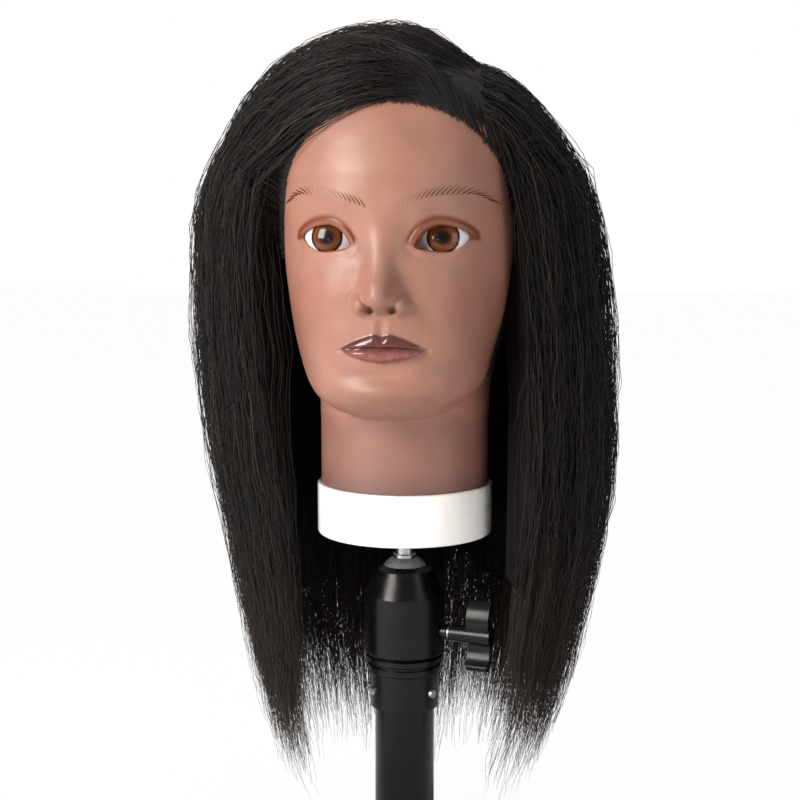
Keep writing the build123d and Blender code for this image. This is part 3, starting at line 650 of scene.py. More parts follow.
# ------------------------------------------------------------------ strands by geometry nodes
def strand_tree(name):
    """Turns guide lines into locks of tapered strands: copies, spread, frizz, trim and skin."""
    tree = bpy.data.node_groups.new(name, "GeometryNodeTree")
    face = tree.interface
    for label, kind, value in (
        ("Guides", "NodeSocketGeometry", None), ("Strands", "NodeSocketInt", 6),
        ("Spread", "NodeSocketFloat", 0.005), ("Root spread", "NodeSocketFloat", 0.2),
        ("Frizz", "NodeSocketFloat", 0.004), ("Frizz size", "NodeSocketFloat", 0.02),
        ("Kink", "NodeSocketFloat", 0.0), ("Width", "NodeSocketFloat", 0.0004), ("Trim", "NodeSocketFloat", 0.1),
        ("Points", "NodeSocketInt", 20), ("Seed", "NodeSocketInt", 1), ("Finish", "NodeSocketMaterial", None),
    ):
        socket = face.new_socket(label, in_out="INPUT", socket_type=kind)
        if value is not None:
            socket.default_value = value
    face.new_socket("Strands", in_out="OUTPUT", socket_type="NodeSocketGeometry")
    source = add(tree, "NodeGroupInput").node.outputs
    vector, number = "FLOAT_VECTOR", "FLOAT"
    lines = add(tree, "GeometryNodeMeshToCurve", {"Mesh": source["Guides"]})
    curves = add(
        tree, "GeometryNodeDuplicateElements", {"Geometry": lines, "Amount": source["Strands"]}, domain="SPLINE"
    )
    index = add(tree, "GeometryNodeInputIndex")
    ball = {0: (-1, -1, -1), 1: (1, 1, 1)}
    chance = add(
        tree, "FunctionNodeRandomValue", {**ball, "ID": index, "Seed": source["Seed"]}, data_type=vector
    )
    curves = add(
        tree, "GeometryNodeStoreNamedAttribute", {"Geometry": curves, "Name": "stray", "Value": chance},
        data_type=vector, domain="CURVE",
    )
    second = add(tree, "ShaderNodeMath", {0: source["Seed"], 1: 31.0}, operation="ADD")
    shade = add(
        tree, "FunctionNodeRandomValue", {2: 0.0, 3: 1.0, "ID": index, "Seed": second}, out=1, data_type=number
    )
    curves = add(
        tree, "GeometryNodeStoreNamedAttribute", {"Geometry": curves, "Name": "strand", "Value": shade},
        data_type=number, domain="CURVE",
    )
    # each strand ends at its own length
    strand = add(tree, "GeometryNodeInputNamedAttribute", {"Name": "strand"}, data_type=number)
    cut = add(tree, "ShaderNodeMath", {0: strand, 1: source["Trim"]}, operation="MULTIPLY")
    end = add(tree, "ShaderNodeMath", {0: 1.0, 1: cut}, operation="SUBTRACT")
    curves = add(tree, "GeometryNodeTrimCurve", {"Curve": curves, "End": end}, mode="FACTOR")
    curves = add(tree, "GeometryNodeResampleCurve", {"Curve": curves, "Count": source["Points"]})
    # the lock opens out from its root
    along = add(tree, "GeometryNodeSplineParameter")
    stray = add(tree, "GeometryNodeInputNamedAttribute", {"Name": "stray"}, data_type=vector)
    opened = add(tree, "ShaderNodeMapRange", {0: along, 1: 0.0, 2: 0.22, 3: source["Root spread"], 4: 1.0})
    amount = add(tree, "ShaderNodeMath", {0: opened, 1: source["Spread"]}, operation="MULTIPLY")
    aside = add(tree, "ShaderNodeVectorMath", {0: stray, "Scale": amount}, operation="SCALE")
    # frizz: slow wander that grows towards the tip, plus a fast kink
    place = add(tree, "GeometryNodeInputPosition")
    per_metre = add(tree, "ShaderNodeMath", {0: 1.0, 1: source["Frizz size"]}, operation="DIVIDE")
    shifted = add(tree, "ShaderNodeVectorMath", {0: stray, "Scale": 7.0}, operation="SCALE")
    moved = add(tree, "ShaderNodeVectorMath", {0: place, 1: shifted}, operation="ADD")
    wander = add(
        tree, "ShaderNodeTexNoise", {"Vector": moved, "Scale": per_metre, "Detail": 1.5}, out="Color"
    )
    wander = add(tree, "ShaderNodeVectorMath", {0: wander, 1: (0.5, 0.5, 0.5)}, operation="SUBTRACT")
    grown = add(tree, "ShaderNodeMapRange", {0: along, 1: 0.0, 2: 0.6, 3: 0.25, 4: 1.0})
    reach = add(tree, "ShaderNodeMath", {0: grown, 1: source["Frizz"]}, operation="MULTIPLY")
    slow = add(tree, "ShaderNodeVectorMath", {0: wander, "Scale": reach}, operation="SCALE")
    point = add(tree, "FunctionNodeRandomValue", {**ball, "Seed": source["Seed"]}, data_type=vector)
    fast = add(tree, "ShaderNodeVectorMath", {0: point, "Scale": source["Kink"]}, operation="SCALE")
    total = add(tree, "ShaderNodeVectorMath", {0: slow, 1: fast}, operation="ADD")
    total = add(tree, "ShaderNodeVectorMath", {0: total, 1: aside}, operation="ADD")
    curves = add(tree, "GeometryNodeSetPosition", {"Geometry": curves, "Offset": total})
    # a three-sided skin that thins towards the tip
    thin = add(tree, "ShaderNodeMapRange", {0: along, 1: 0.35, 2: 1.0, 3: 1.0, 4: 0.4})
    radius = add(tree, "ShaderNodeMath", {0: thin, 1: source["Width"]}, operation="MULTIPLY")
    radius = add(tree, "ShaderNodeMath", {0: radius, 1: 0.5}, operation="MULTIPLY")
    ring = add(tree, "GeometryNodeCurvePrimitiveCircle", {"Resolution": 3, "Radius": 1.0})
    skin = add(tree, "GeometryNodeCurveToMesh", {
        "Curve": curves, "Profile Curve": ring, "Scale": radius, "Fill Caps": True})
    real = add(tree, "GeometryNodeRealizeInstances", {"Geometry": skin})
    done = add(tree, "GeometryNodeSetMaterial", {"Geometry": real, "Material": source["Finish"]})
    add(tree, "NodeGroupOutput", {0: done})
    return tree


def grow_strands(name, guides, material, **inputs):
    """Runs the strand tree on guide lines (arrays of points in mm) and returns a plain mesh piece."""
    points = np.concatenate(guides) * MM
    edges, start = [], 0
    for line in guides:
        edges += [(start + i, start + i + 1) for i in range(len(line) - 1)]
        start += len(line)
    mesh = bpy.data.meshes.new(name + "_guides")
    mesh.from_pydata(points.tolist(), edges, [])
    source = bpy.data.objects.new(name + "_guides", mesh)
    bpy.context.scene.collection.objects.link(source)
    modifier = source.modifiers.new("strands", "NODES")
    tree = modifier.node_group = bpy.data.node_groups.get("strands") or strand_tree("strands")
    by_name = {item.name: item.identifier for item in tree.interface.items_tree if item.in_out == "INPUT"}
    inputs["Finish"] = material
    for key, value in inputs.items():
        modifier[by_name[key.replace("_", " ")]] = value
    bpy.context.view_layer.update()
    evaluated = source.evaluated_get(bpy.context.evaluated_depsgraph_get())
    final = bpy.data.meshes.new_from_object(evaluated)
    source.modifiers.clear()
    bpy.data.objects.remove(source)
    final.name = name
    final.polygons.foreach_set("use_smooth", [True] * len(final.polygons))
    made = bpy.data.objects.new(name, final)
    bpy.context.scene.collection.objects.link(made)
    return made


def hang(piece):
    """Bakes a piece of hair's placement into its mesh."""
    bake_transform(piece)


# ------------------------------------------------------------------ hair form
# height above the column's lower end: left x, right x, front y, back y of the hair's outside
HAIR = [
    (-4, -58, 58, -26, 84), (8, -70, 68, -32, 92), (45, -85, 83, -38, 108), (85, -97, 98, -42, 118),
    (146, -111, 112, -48, 125), (205, -122, 124, -54, 129), (265, -133, 129, -60, 132),
    (323, -138, 127, -66, 135), (386, -136, 119, -76, 137), (436, -118, 103, -88, 129),
    (464, -101, 84, -86, 117), (487, -79, 61, -74, 95), (503, -52, 41, -51, 67), (513, -22, 20, -20, 34),
    (515.5, -1, 1, 5, 9),
]
HAIR_TABLES = [[(row[0], row[k]) for row in HAIR] for k in range(1, 5)]
INNER_R = 68.0
DOME = np.array([-4.0, 16.0, 402.0])  # the hair over the top is measured out from here
SHOULDER_Z = 425.0  # below this height the hair hangs straight


def outer_section(z):
    """Centre x, centre y, half width and half depth of the hair's outside at a height."""
    left, right, front, back = (curve(z, table) for table in HAIR_TABLES)
    return (left + right) / 2, (front + back) / 2, (right - left) / 2, (back - front) / 2


def inner_section(z):
    """The same for the free space inside the hair: round the holder, then the head itself."""
    half, front, back, _ = (curve(z - HEAD_Z, table) for table in SKULL_TABLES)
    rise = ease(z, 300, 350)
    cy = (front + back) / 2 * rise
    across, deep = half + 1, (back - front) / 2 + 1
    return 0 * z, cy, INNER_R * (1 - rise) + across * rise, INNER_R * (1 - rise) + deep * rise


def dome_radius(direction, depth):
    """How far the hair's outside is from the dome's centre along unit directions, less a depth."""
    low, high = np.full(len(direction), 20.0), np.full(len(direction), 230.0)
    for _ in range(26):
        middle = (low + high) / 2
        p = DOME + direction * middle[:, None]
        cx, cy, a, b = outer_section(p[:, 2])
        inside = ((p[:, 0] - cx) / a) ** 2 + ((p[:, 1] - cy) / b) ** 2 < 1
        inside &= p[:, 2] < 515.4
        low, high = np.where(inside, middle, low), np.where(inside, high, middle)
    return low - depth


def scalp_radius(direction):
    """How far the scalp is from the dome's centre along unit directions."""
    low, high = np.full(len(direction), 5.0), np.full(len(direction), 180.0)
    for _ in range(26):
        middle = (low + high) / 2
        p = DOME + direction * middle[:, None]
        half, front, back, mid = (curve(p[:, 2] - HEAD_Z, table) for table in SKULL_TABLES)
        reach = np.where(p[:, 1] < mid, mid - front, back - mid)
        inside = (p[:, 0] / np.maximum(half, 0.1)) ** 2 + ((p[:, 1] - mid) / np.maximum(reach, 0.1)) ** 2 < 1
        inside &= p[:, 2] < HEAD_Z + 298.8
        low, high = np.where(inside, middle, low), np.where(inside, high, middle)
    return low


def unit(v):
    """Vectors of length one."""
    return v / np.linalg.norm(v, axis=-1, keepdims=True)


def toward(points):
    """Directions from the dome's centre to points."""
    return unit(np.asarray(points, float) - DOME)


def fall_point(turn, layer, z):
    """Point of a hanging strand: turn round the hair (0 front, 180 back), layer 0 inside to 1 outside."""
    cx, cy, a, b = outer_section(z)
    ix, iy, ia, ib = inner_section(z)
    x0, y0 = ix + ia * np.sin(turn), iy - ib * np.cos(turn)
    x1, y1 = cx + a * np.sin(turn), cy - b * np.cos(turn)
    return np.stack([x0 + (x1 - x0) * layer, y0 + (y1 - y0) * layer, z], -1)


def make_guides(roots, middles, turns, layers, end_z, count_dome=12, count_fall=14):
    """Guide lines from the scalp, over the dome and down to their ends."""
    shoulder = fall_point(turns, layers, np.full(len(turns), SHOULDER_Z))
    d0, d1, d2 = toward(roots), toward(middles), toward(shoulder)
    r0 = np.linalg.norm(np.asarray(roots, float) - DOME, axis=1)
    r2 = np.linalg.norm(shoulder - DOME, axis=1)
    inset = dome_radius(d2, 0) - r2 + 4.0  # room for the strands that stray outwards
    lines = []
    for t in np.linspace(0, 1, count_dome, endpoint=False):
        d = unit((1 - t) ** 2 * d0 + 2 * t * (1 - t) * d1 + t * t * d2)
        lift = ease(t, 0, 0.34)
        depth = inset * (0.35 + 0.65 * t)
        r = r0 * (1 - lift) + np.maximum(dome_radius(d, depth), scalp_radius(d) + 1.0) * lift
        lines.append(DOME + d * r[:, None])
    for k in range(count_fall):
        t = k / (count_fall - 1)
        z = SHOULDER_Z + (end_z - SHOULDER_Z) * t
        lines.append(fall_point(turns, layers, z))
    return list(np.stack(lines, 1))


def hairline_point(x_side):
    """Point of the hairline for -1 (right temple) to 1 (left temple)."""
    across = np.clip(np.abs(x_side), 0, 1)
    angle = across * np.pi / 2
    x = 3 + np.sign(x_side) * 70.0 * np.sin(angle) ** 0.85
    up = EYE_UP - 12 + 88.5 * np.cos(angle) ** 0.8
    return x, up


# ------------------------------------------------------------------ operators
class TRAININGHEAD_OT_stage(bpy.types.Operator):
    """Camera, floor, backdrop and soft studio lights"""

    bl_idname = "traininghead.stage"
    bl_label = "Stage"

    def execute(self, context):
        s = context.scene.traininghead_stage
        camera = bpy.data.cameras.new("camera")
        camera.sensor_width = 36.0
        camera.lens = 18.0 / math.tan(s.camera_view / 2)
        camera.clip_start, camera.clip_end = 0.05, 20.0
        holder = bpy.data.objects.new("camera", camera)
        context.scene.collection.objects.link(holder)
        holder.location = (
            math.sin(s.camera_turn) * s.camera_distance, -math.cos(s.camera_turn) * s.camera_distance,
            s.camera_height,
        )
        holder.rotation_euler = (math.pi / 2 - s.camera_pitch, 0, s.camera_turn + math.radians(0.18))
        context.scene.camera = holder
        context.scene.view_settings.view_transform = "Standard"

        plaster, tree, shader = new_material("plaster_backdrop")
        where = add(tree, "ShaderNodeTexCoord", out="Object")
        grain = add(tree, "ShaderNodeTexNoise", {"Vector": where, "Scale": 3.0, "Detail": 4.0})
        tone = add(tree, "ShaderNodeValToRGB", {0: grain}, stops=((0.3, "#FAF9F7"), (0.7, s.backdrop)))
        fill(shader, {"Base Color": tone, "Roughness": 0.9})
        # a lit cove: it gives its own light to the eye, and takes a faint shadow
        glow = add(tree, "ShaderNodeEmission", {"Color": linear(s.backdrop), "Strength": 1.0})
        ray = add(tree, "ShaderNodeLightPath", out="Is Camera Ray")
        share = add(tree, "ShaderNodeMath", {0: ray, 1: 0.97}, operation="MULTIPLY")
        both = add(tree, "ShaderNodeMixShader", {0: share, 1: shader.outputs[0], 2: glow})
        fill(tree.nodes["Material Output"], {"Surface": both})
        size = 6.0
        floor = mesh_object(
            "floor", np.array([[-size, -size, 0], [size, -size, 0], [size, size, 0], [-size, size, 0]]) / MM,
            [(0, 1, 2, 3)], plaster, smooth=False,
        )

        world = bpy.data.worlds.new("studio")
        world.use_nodes = True
        sky = world.node_tree
        seen = sky.nodes["Background"]
        fill(seen, {"Color": linear(s.backdrop)})
        dim = add(sky, "ShaderNodeBackground", {"Color": linear("#F4F6FA"), "Strength": s.room_light})
        ray = add(sky, "ShaderNodeLightPath", out="Is Camera Ray")
        both = add(sky, "ShaderNodeMixShader", {0: ray, 1: dim, 2: seen.outputs[0]})
        fill(sky.nodes["World Output"], {"Surface": both})
        context.scene.world = world

        for name, place, aim, width, height, power, colour in (
            ("key_softbox", (-0.96, -1.07, 0.85), (0, 0, 0.36), 0.6, 0.8, s.key_power, "#FFF9F3"),
            ("fill_softbox", (1.25, -0.85, 0.55), (0, 0, 0.33), 0.6, 0.9, s.fill_power, "#FFF1E6"),
            ("top_softbox", (0.1, 0.35, 1.35), (0, 0, 0.4), 0.9, 0.6, s.key_power * 0.2, "#FFFFFF"),
        ):
            lamp = bpy.data.lights.new(name, "AREA")
            lamp.shape, lamp.size, lamp.size_y, lamp.energy = "RECTANGLE", width, height, power
            lamp.color = linear(colour)[:3]
            holder = bpy.data.objects.new(name, lamp)
            context.scene.collection.objects.link(holder)
            holder.location = place
            gap = [aim[i] - place[i] for i in range(3)]
            flat = math.hypot(gap[0], gap[1])
            holder.rotation_euler = (math.atan2(flat, -gap[2]), 0, math.atan2(gap[1], gap[0]) - math.pi / 2)
        return {"FINISHED"}


class TRAININGHEAD_OT_holder(bpy.types.Operator):
    """Finishes for the column, ball holder, screws, ball and base cup"""

    bl_idname = "traininghead.holder"
    bl_label = "Holder and base"

    def execute(self, context):
        # nylon with black pigment, polished mould: deep black with sharp window-like glints
        nylon = moulded_plastic("black_nylon_moulded", "#050506", "#0A0A0B", 0.2, 0.34, 0.05, shine=0.22)
        # enamel over drawn steel tube: mirror-like black, the smoothest surface here
        enamel = moulded_plastic("black_enamel_on_steel", "#040404", "#080809", 0.14, 0.22, 0.02, shine=0.2)
        # ABS, pure white and slightly translucent to the eye
        white = moulded_plastic("white_abs_moulded", "#F1F1EF", "#FAFAF8", 0.22, 0.34, 0.03, 0.15)
        dark = moulded_plastic("black_acetal_moulded", "#161617", "#1E1E20", 0.4, 0.55)
        # zinc alloy, blasted: dull grey with coarse sparkling grit, 0.5 mm apart
        blasted = metal("blasted_zinc", "#3E3F42", "#B9BABC", 0.42, 0.7, 0.55, 0.8)
        # ground steel: bright, with fine rings 0.3 mm apart round the stem
        ground = metal("ground_steel", "#8E8F92", "#C8C9CB", 0.2, 0.36, 0.3, 0.12, turned=True)
        zinc = metal("zinc_plated_steel", "#8C9096", "#C3C7CC", 0.25, 0.45, 1.2, 0.15)
        brass = metal("turned_brass", "#A8823F", "#D0AA62", 0.25, 0.4, 0.3, 0.1, turned=True)
        foam, tree, shader = new_material("rigid_polyurethane_foam")
        where = add(tree, "ShaderNodeTexCoord", out="Object")
        cells = add(tree, "ShaderNodeTexVoronoi", {"Vector": where, "Scale": 900.0}, out="Distance")
        cream = add(tree, "ShaderNodeValToRGB", {0: cells}, stops=((0.0, "#B9A77F"), (0.6, "#E3D7B4")))
        fill(shader, {"Base Color": cream, "Roughness": 0.85})
        finishes = {
            "column_tube": enamel, "tube_collar": nylon, "ball_housing": nylon, "wing_knob": nylon,
            "collar_screws": zinc, "base_screws": zinc, "threaded_insert": nylon, "clamp_screw": zinc,
            "pressure_cup": dark, "wedge_plunger": dark, "thrust_tip": brass, "ball": blasted,
            "mounting_stem": ground, "stem_lock_ring": ground, "base_cup": white, "stem_socket": dark,
            "head_core": foam,
        }
        for node, finish in finishes.items():
            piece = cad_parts[node]
            piece.data.materials.clear()
            piece.data.materials.append(finish)
        return {"FINISHED"}


class TRAININGHEAD_OT_head(bpy.types.Operator):
    """The cast vinyl skin with its painted face"""

    bl_idname = "traininghead.head"
    bl_label = "Head skin"

    def execute(self, context):
        face = context.scene.traininghead_face
        head = build_head(face, vinyl_skin(face))
        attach(head, "head")
        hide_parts("head_skin")
        return {"FINISHED"}


class TRAININGHEAD_OT_eyes(bpy.types.Operator):
    """Two acrylic eyes"""

    bl_idname = "traininghead.eyes"
    bl_label = "Eyes"

    def execute(self, context):
        face = context.scene.traininghead_face
        material = painted_eye(face)
        for side, node in ((1, "eye_left"), (-1, "eye_right")):
            eye = build_eye(node + "_acrylic", side, face.eye_apart / 2 / MM, material)
            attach(eye, "head")
            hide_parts(node)
        return {"FINISHED"}


class TRAININGHEAD_OT_brows(bpy.types.Operator):
    """Brow strokes painted on the skin"""

    bl_idname = "traininghead.brows"
    bl_label = "Brows"

    def execute(self, context):
        face = context.scene.traininghead_face
        eye_x = face.eye_apart / 2 / MM
        # painted highlight: the light stretch of each brow where the ridge catches the key light
        brow_highlight = "#A98878"
        for side, name, tints in (
            (1, "brow_left", ((0, brow_highlight), (0.12, brow_highlight), (0.34, face.brow), (1, face.brow))),
            (-1, "brow_right", ((0, "#7C4630"), (0.16, "#8A5440"), (0.36, brow_highlight), (0.52, brow_highlight), (0.66, "#5E3420"),
                                (1, "#5A3220"))),
        ):
            guides = []
            for k in range(19):
                t = k / 18
                x = 10.5 + 49.0 * t
                up = 206.3 + 7.0 * math.sin(math.pi * min(t * 0.8 + 0.02, 1)) - 14 * max(0, t - 0.75) ** 1.3
                lean = 1.12 - 0.3 * t - 1.15 * float(ease(t, 0.62, 1.0))
                length = 8.4 - 2.2 * abs(t - 0.5) - 1.5 * max(0, t - 0.8)
                steps = np.linspace(0, 1, 6)
                dx = length * (math.cos(lean) * steps + 0.12 * steps**2)
                dz = length * (math.sin(lean) * steps - 0.12 * steps**2)
                xs, us = x + dx - 1.8, up + dz - 3.4 * math.sin(max(lean, 0))
                ys = front_surface(xs, us, eye_x) + 0.1
                guides.append(np.stack([side * xs, ys, us + HEAD_Z], 1))
            brow = grow_strands(
                name, guides, brow_paint(name + "_paint", tints), Strands=1, Spread=0.0, Frizz=0.0,
                Width=0.0010, Trim=0.15, Points=7, Seed=3,
            )
            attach(brow, "head")
        return {"FINISHED"}


def parting(q):
    """Points on the parting line, 0 at the hairline to 1 at the crown, on the scalp."""
    x = 49 - 17 * q
    y = -62 + 92 * q
    d = unit(np.stack([x - DOME[0], y - DOME[1], 62.0 + 22.0 * q], -1))
    return DOME + d * scalp_radius(d)[:, None]


def hair_lines(part, rng, turns, layer, u, end_z, **counts):
    """Guide lines of one mass of hair: right and left of the parting, the back, or the hairline's front."""
    n = len(turns)
    shoulder = fall_point(turns, layer, np.full(n, SHOULDER_Z))
    if part == "front":
        x, up = hairline_point(u)
        y = np.interp(np.abs(u), [0, 0.35, 0.6, 0.8, 1], [-74, -70, -62, -48, -26])
        d = toward(np.stack([x, y, up + HEAD_Z + 2], 1))
        roots = DOME + d * scalp_radius(d)[:, None]
        out = np.abs(u)
        lift = np.stack([0.25 * np.sign(turns) * (1 - out), 0.25 - 0.2 * out, 0.95 - 0.8 * out], 1)
        middle = toward(roots) * 0.9 + toward(shoulder) * 0.45 + lift
    else:
        q = np.clip(u * 1.12 + 0.06 * rng.standard_normal(n), 0, 1)
        if part == "back":
            q = 0.85 + 0.15 * rng.random(n)
        inner = (1 - layer) * 0.7
        mix = unit(toward(parting(q)) * (1 - inner)[:, None] + toward(shoulder) * inner[:, None])
        roots = DOME + mix * scalp_radius(mix)[:, None]
        lift = {"right": (-0.12, -0.08, 0.36), "left": (0.2, -0.02, 0.12), "back": (0.0, 0.1, 0.25)}[part]
        front = {"right": (0.0, -0.3, -0.12), "left": (0.0, -0.1, 0.0), "back": (0.0, 0.0, 0.0)}[part]
        near = np.clip(1 - u, 0, 1)[:, None] ** 3  # strands rooted near the forehead stay forward
        middle = (toward(roots) + toward(shoulder)) / 2 + np.array(lift) + near * np.array(front)
    return make_guides(roots, DOME + middle, turns, layer, end_z, **counts)


def front_edge(layer):
    """Turn at which the hair beside the face begins, for a layer."""
    return np.radians(64 - 27 * layer)


class TRAININGHEAD_OT_under_hair(bpy.types.Operator):
    """Dark closed masses inside the lengths, so that no light shows through them"""

    bl_idname = "traininghead.under_hair"
    bl_label = "Under hair"

    def execute(self, context):
        s = context.scene.traininghead_hair
        rng = np.random.default_rng(s.seed + 11)
        material = under_hair_material()
        for part, first, last, columns in (
            ("right", -1.0, -math.pi, 150), ("left", 1.0, math.radians(150), 90),
            ("back", math.radians(116), math.radians(244), 70),
        ):
            u = np.linspace(0, 1, columns)
            shells = []
            knots = np.arange(0, columns + 4, 4)
            heights = rng.normal(0, 1, columns // 4 + 2)[: len(knots)]
            lock = np.interp(np.arange(columns), knots, heights)
            ragged = 176 + 13 * rng.normal(0, 1, columns)
            for depth in (0.88, 0.10):
                layer = np.clip(depth + 0.045 * lock * (depth > 0.5), 0.02, 0.97)
                edge = front_edge(layer) + 0.05
                if part == "back":
                    turns = first + (last - first) * u
                else:
                    turns = first * (edge + (abs(last) - edge) * u)
                lines = np.stack(hair_lines(
                    part, np.random.default_rng(1), turns, layer, u * 0.999, ragged,
                    count_dome=16, count_fall=22,
                ))
                if depth > 0.5:  # sunk below the outer strands over the top
                    sink = 4.5 * (1 - ease(np.arange(16), 9, 15))
                    lines[:, :16] -= toward(lines[:, :16]) * sink[None, :, None]
                shells.append(lines)
            rows = shells[0].shape[1]
            outer, inner = shells
            # both skins meet along every edge, so that the mass is closed
            whole = slice(None)
            for edge in ((whole, 0), (whole, rows - 1), (0, whole), (columns - 1, whole)):
                inner[edge] = outer[edge] * 0.92 + inner[edge] * 0.08
            points = np.concatenate([outer.reshape(-1, 3), inner.reshape(-1, 3)])
            count = columns * rows
            front = grid_faces(columns, rows, closed=False)
            back = [tuple(i + count for i in f[::-1]) for f in front]
            rim = list(range(rows)) + [c * rows + rows - 1 for c in range(1, columns)]
            rim += [(columns - 1) * rows + r for r in range(rows - 2, -1, -1)]
            rim += [c * rows for c in range(columns - 2, 0, -1)]
            sides = [(b, a, a + count, b + count) for a, b in zip(rim, rim[1:] + rim[:1])]
            streak = np.repeat(np.arange(columns) / columns, rows)
            made = mesh_object(
                "hair_under_" + part, points, front + back + sides, material,
                {"across": np.concatenate([streak, streak])},
            )
            bm = bmesh.new()
            bm.from_mesh(made.data)
            bmesh.ops.recalc_face_normals(bm, faces=bm.faces)
            bm.to_mesh(made.data)
            bm.free()
            hang(made)
        return {"FINISHED"}


class TRAININGHEAD_OT_hair(bpy.types.Operator):
    """The lengths: locks of strands from the parting and hairline down to the ends"""

    bl_idname = "traininghead.hair"
    bl_label = "Hair"

    def execute(self, context):
        s = context.scene.traininghead_hair
        rng = np.random.default_rng(s.seed)
        material = hair_material(s.colour)
        light = 1.0
        replaced = {
            "right": ("hair_top_swept", "hair_side_right", "hair_ends_right"),
            "left": ("hair_top_parted", "hair_side_left", "hair_ends_left"),
            "back": ("hair_back", "hair_ends_back"), "front": (), "ends": (),
        }
        for part, share in (("right", 0.36), ("left", 0.22), ("back", 0.24), ("front", 0.18), ("ends", 0.7)):
            n = int(s.locks * share * light)
            layer = 1 - 0.8 * rng.random(n) ** 1.7
            edge = front_edge(layer)
            u = rng.random(n)
            if part == "right":
                turns = -(edge + (np.pi - edge) * u)
            elif part == "left":
                edge = edge + np.radians(7)
                turns = edge + (np.radians(150) - edge) * u
            elif part == "back":
                turns = np.radians(116 + 128 * u)
            elif part == "ends":
                turns = (edge + (np.pi - edge) * u**0.65) * rng.choice([-1, 1], n)
            else:
                u = -1 + 2 * (np.arange(n) + rng.random(n)) / n
                layer = 1 - 0.45 * rng.random(n)
                over = u < 0.62
                back_off = np.where(over, 0.9 * (u + 1) / 1.62, 0.55 * (1 - u) / 0.38)
                turns = front_edge(layer) + np.where(over, 0, np.radians(7)) + back_off + 0.1 * rng.random(n)
                turns = turns * np.where(over, -1, 1)
            end_z = 10 + 34 * np.abs(np.sin(turns)) + 26 * rng.random(n)
            points = s.points
            if part == "ends":  # extra strands that thicken the lower lengths
                points = s.points // 2
                steps = np.linspace(0, 1, 10)[:, None]
                heights = (285 + 30 * rng.random(n)) * (1 - steps) + (end_z + 25) * steps
                guides = list(np.stack([fall_point(turns, layer * 0.97, z) for z in heights], 1))
            else:
                guides = hair_lines(part, rng, turns, layer, u, end_z)
            pieces = max(1, math.ceil(n * s.per_lock * (points * 6 + 2) / 190000))
            for k in range(pieces):
                piece = grow_strands(
                    f"hair_{part}_{k + 1}", guides[k::pieces], material, Strands=s.per_lock,
                    Spread=0.0068, Root_spread=0.22, Frizz=s.frizz * 2.8, Frizz_size=0.026, Kink=0.0013,
                    Width=s.strand, Trim=0.2, Points=points, Seed=s.seed + k,
                )
                hang(piece)
                if k == 0 and replaced[part]:
                    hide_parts(*replaced[part])
        return {"FINISHED"}


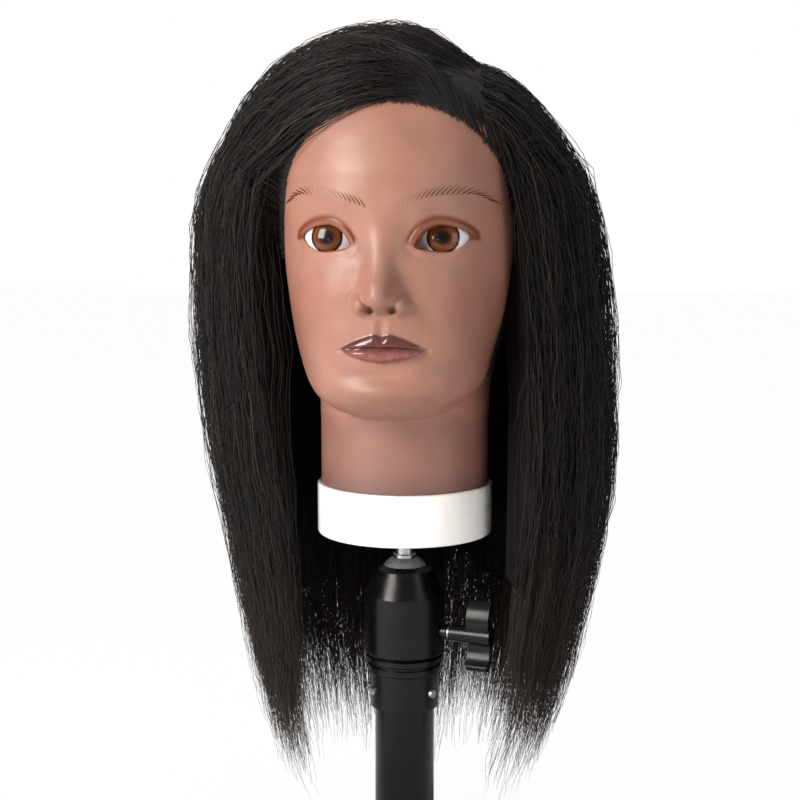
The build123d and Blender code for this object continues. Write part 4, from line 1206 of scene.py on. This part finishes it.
class TRAININGHEAD_OT_flyaways(bpy.types.Operator):
    """Fine frizz standing off the hair's outside and short hairs along the hairline"""

    bl_idname = "traininghead.flyaways"
    bl_label = "Flyaways"

    def execute(self, context):
        s = context.scene.traininghead_hair
        rng = np.random.default_rng(s.seed + 5)
        material = bpy.data.materials["black_hair"]
        # along the lengths
        n = 1300
        turns = rng.choice([-1, 1], n) * (np.radians(40) + np.radians(140) * rng.random(n))
        z0 = 60 + 365 * rng.random(n)
        length = 22 + 30 * rng.random(n)
        out = 0.985 + 0.05 * rng.random(n)
        drift = rng.normal(0, 0.07, n)
        rows = []
        for t in np.linspace(0, 1, 6):
            rows.append(fall_point(turns + drift * t, 0.97 + (out - 0.96) * t, z0 - length * t))
        lengths = list(np.stack(rows, 1))
        # over the top
        m = 420
        d0 = unit(np.stack([rng.normal(-0.1, 0.6, m), rng.normal(0.1, 0.6, m), 0.35 + rng.random(m)], 1))
        sweep = np.where(d0[:, 0] * 150 > 48, 0.3, -0.3)
        side = np.stack([sweep, rng.normal(0, 0.06, m), np.full(m, -0.1)], 1)
        rise = 1.5 + 3.0 * rng.random(m)
        rows = []
        for t in np.linspace(0, 1, 6):
            d = unit(d0 + side * t)
            rows.append(DOME + d * (dome_radius(d, 4.0) + rise * t * t)[:, None])
        lengths += [
            line for line in np.stack(rows, 1)
            if not (line[0][1] < -40 and line[0][2] < 470)  # none over the forehead
            and not (line[:, 0].max() > 5 and line[:, 2].max() > 440)  # none over the parting
        ]
        piece = grow_strands(
            "hair_flyaways", lengths, material, Strands=2, Spread=0.005, Root_spread=0.6, Frizz=0.006,
            Frizz_size=0.012, Kink=0.0005, Width=s.strand * 0.55, Trim=0.4, Points=8, Seed=s.seed + 30,
        )
        hang(piece)
        # short hairs at the hairline
        n = 900
        u = -1 + 2 * (np.arange(n) + rng.random(n)) / n
        x, up = hairline_point(u)
        up = up + rng.normal(0, 0.8, n) + 1.0
        y = front_surface(x, up, context.scene.traininghead_face.eye_apart / 2 / MM) - 0.1
        roots = np.stack([x, y, up + HEAD_Z], 1)
        sweep = np.where(u < 0.62, -1.0, 1.0)
        d0 = toward(roots)
        side = np.stack([sweep * (0.12 + 0.1 * rng.random(n)), 0.16 + 0 * u, 0.22 - 0.25 * np.abs(u) ** 2], 1)
        r0 = np.linalg.norm(roots - DOME, axis=1)
        rows = []
        for t in np.linspace(0, 1, 6):
            d = unit(d0 + side * t)
            rows.append(DOME + d * (r0 * (1 - t) + (scalp_radius(d) + 3.5 + 3 * t) * t)[:, None])
        piece = grow_strands(
            "hair_hairline", list(np.stack(rows, 1)), material, Strands=4, Spread=0.0012, Root_spread=0.7,
            Frizz=0.002, Frizz_size=0.01, Width=s.strand * 0.6, Trim=0.5, Points=7, Seed=s.seed + 40,
        )
        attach(piece, "head")
        return {"FINISHED"}


class TRAININGHEAD_PT_panel(bpy.types.Panel):
    bl_label = "Training head"
    bl_space_type = "VIEW_3D"
    bl_region_type = "UI"
    bl_category = "Training head"

    def draw(self, context):
        for group in ("stage", "face", "hair"):
            settings = getattr(context.scene, "traininghead_" + group)
            column = self.layout.column()
            column.label(text=group.capitalize())
            for prop in settings.__annotations__:
                column.prop(settings, prop)
        for operator in OPERATORS:
            self.layout.operator(operator.bl_idname)


OPERATORS = (
    TRAININGHEAD_OT_stage, TRAININGHEAD_OT_holder, TRAININGHEAD_OT_head, TRAININGHEAD_OT_eyes,
    TRAININGHEAD_OT_brows, TRAININGHEAD_OT_under_hair, TRAININGHEAD_OT_hair, TRAININGHEAD_OT_flyaways,
)
GROUPS = (StageSettings, FaceSettings, HairSettings)


def register():
    for cls in GROUPS + OPERATORS + (TRAININGHEAD_PT_panel,):
        bpy.utils.register_class(cls)
    bpy.types.Scene.traininghead_stage = bpy.props.PointerProperty(type=StageSettings)
    bpy.types.Scene.traininghead_face = bpy.props.PointerProperty(type=FaceSettings)
    bpy.types.Scene.traininghead_hair = bpy.props.PointerProperty(type=HairSettings)


def unregister():
    for name in ("traininghead_stage", "traininghead_face", "traininghead_hair"):
        delattr(bpy.types.Scene, name)
    for cls in reversed(GROUPS + OPERATORS + (TRAININGHEAD_PT_panel,)):
        bpy.utils.unregister_class(cls)


def main():
    register()
    bpy.ops.traininghead.stage()
    bpy.ops.traininghead.holder()
    bpy.ops.traininghead.head()
    bpy.ops.traininghead.eyes()
    bpy.ops.traininghead.brows()
    bpy.ops.traininghead.under_hair()
    bpy.ops.traininghead.hair()
    bpy.ops.traininghead.flyaways()


if __name__ == "__main__":
    main()
